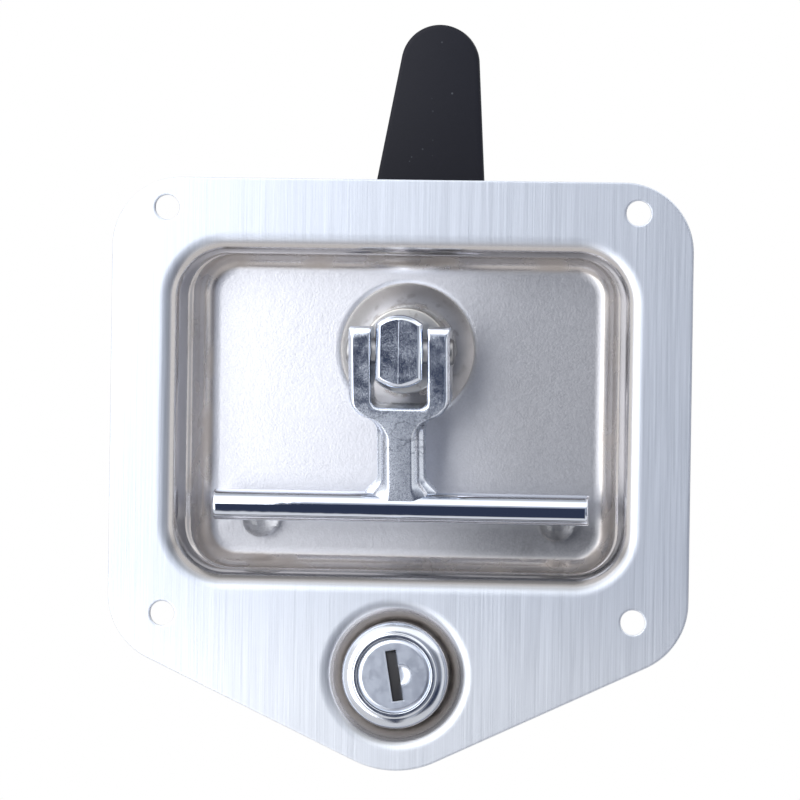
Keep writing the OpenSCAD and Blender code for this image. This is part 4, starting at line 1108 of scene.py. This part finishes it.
class LATCH_OT_stage(bpy.types.Operator):
    """Sets up the camera, the lamps, the studio's surroundings and a pale floor"""
    bl_idname = "latch.stage"
    bl_label = "Studio"

    def execute(self, context):
        scene = context.scene
        colours = scene.latch.colours
        yaw, pitch, roll = (math.radians(v) for v in (6.0, 1.25, 0.82))
        level = math.cos(pitch)
        ahead = Vector((-math.sin(yaw) * level, math.cos(yaw) * level, -math.sin(pitch)))
        right = ahead.cross(Vector((0, 0, 1))).normalized()
        up = right.cross(ahead)
        cos, sin = math.cos(roll), math.sin(roll)
        right, up = cos * right + sin * up, cos * up - sin * right
        aim, distance = Vector((0.000016, 0, 0.003155)), 1.307
        place = aim - distance * ahead
        camera = bpy.data.objects.new("Camera", bpy.data.cameras.new("Camera"))
        camera.data.lens = 264.0
        camera.data.sensor_width = 36.0
        camera.data.clip_start, camera.data.clip_end = 0.05, 20
        turn = Matrix((right, up, -ahead)).transposed().to_4x4()
        camera.matrix_world = Matrix.Translation(place) @ turn
        scene.collection.objects.link(camera)
        scene.camera = camera
        scene.view_settings.view_transform = "Standard"

        world = bpy.data.worlds.new("Studio")
        scene.world = world
        world.use_nodes = True
        tree = world.node_tree
        way = Wire(tree, tree.nodes.new("ShaderNodeTexCoord").outputs["Generated"])
        x, y, z = (way.part(axis) for axis in range(3))
        # Degrees to the right of the front, and degrees above the level.
        side = x.math("ARCTAN2", -y) * math.degrees(1)
        rise = z.math("ARCSINE") * math.degrees(1)
        pale, top_card, white = (0.95,) * 3, (1.4,) * 3, (1.0,) * 3
        left = (-side).over(16, 34).math("MAXIMUM", side.math("ABSOLUTE").over(112, 128))
        right_card = band(side, 54, 60, 80, 88)
        right = band(side, 80, 88, 112, 128)
        room = left.math("MAXIMUM", right_card).mix(colours.front_room, pale)
        room = right.mix(room, colours.right_room)
        room = (-rise).over(20, 36).mix(room, colours.low_room)
        room = rise.over(24, 30).mix(room, colours.top_room)
        room = band(rise, 24, 30, 62, 76).mix(room, top_card)
        dim = band(side, 14, 22, 44, 52) * band(rise, -34, -26, 16, 24)
        under = band(side, 8, 14, 44, 52) * band(rise, -40, -32, -12, -7)
        outline = band(side.math("ABSOLUTE"), 128, 138, 170, 176) * band(rise, -13, -9, 9, 13)
        room = outline.math("MAXIMUM", under).mix(dim.mix(room, colours.dark_side), colours.dark_room)
        strip = band(side, -14, -10, -2, 2) * band(rise, -62, -54, 14, 19)
        room = strip.mix(room, colours.dark_room)
        seen = Wire(tree, tree.nodes.new("ShaderNodeLightPath").outputs["Is Camera Ray"])
        shader = tree.nodes["Background"]
        feed(tree, shader.inputs["Color"], seen.mix(room, white))
        shader.inputs["Strength"].default_value = 1.0

        lamp("Upper lamp", (-0.255, -0.36, 0.21), (-0.255, 0, 0.21), 0.36, 0.38, 0.9)
        lamp("Lower lamp", (-0.295, -0.36, -0.14), (-0.295, 0, -0.14), 0.36, 0.32, 0.9)

        floor = bpy.data.objects.new("Floor", bpy.data.meshes.new("Floor"))
        floor_r, floor_z = 0.6, -0.16
        ring = circle(floor_r)
        points, faces = filled(np.column_stack([ring, np.full(len(ring), floor_z)]), flat=(0, 1))
        floor.data.from_pydata(points.tolist(), [], faces.tolist())
        weld(floor.data)
        floor.data.materials.append(finish("floor", lambda place, own: {
            "Base Color": colour(own.floor), "Roughness": 0.8}, colours))
        scene.collection.objects.link(floor)
        floor.visible_glossy = False
        return {"FINISHED"}


class LATCH_PT_panel(bpy.types.Panel):
    """Lists the steps that make the latch"""
    bl_idname = "LATCH_PT_panel"
    bl_label = "Latch"
    bl_space_type = "VIEW_3D"
    bl_region_type = "UI"
    bl_category = "Latch"

    def draw(self, context):
        for step in STEPS:
            self.layout.operator(step.bl_idname)


STEPS = (LATCH_OT_plate, LATCH_OT_bumpers, LATCH_OT_handle, LATCH_OT_shaft, LATCH_OT_cam, LATCH_OT_lock,
         LATCH_OT_hardware, LATCH_OT_stage)
CLASSES = (PlateSizes, HandleSizes, ShaftSizes, LockSizes, Colours, LatchSettings, *STEPS, LATCH_PT_panel)


def register():
    """Makes the settings, steps and panel known to Blender."""
    for kind in CLASSES:
        bpy.utils.register_class(kind)
    bpy.types.Scene.latch = bpy.props.PointerProperty(
        type=LatchSettings, name="Latch", description="Latch settings")


def unregister():
    """Takes them out again."""
    del bpy.types.Scene.latch
    for kind in reversed(CLASSES):
        bpy.utils.unregister_class(kind)


def main():
    """Makes the latch and its studio."""
    register()
    bpy.ops.latch.plate()
    bpy.ops.latch.bumpers()
    bpy.ops.latch.handle()
    bpy.ops.latch.shaft()
    bpy.ops.latch.cam()
    bpy.ops.latch.lock()
    bpy.ops.latch.hardware()
    bpy.ops.latch.stage()


if __name__ == "__main__":
    main()
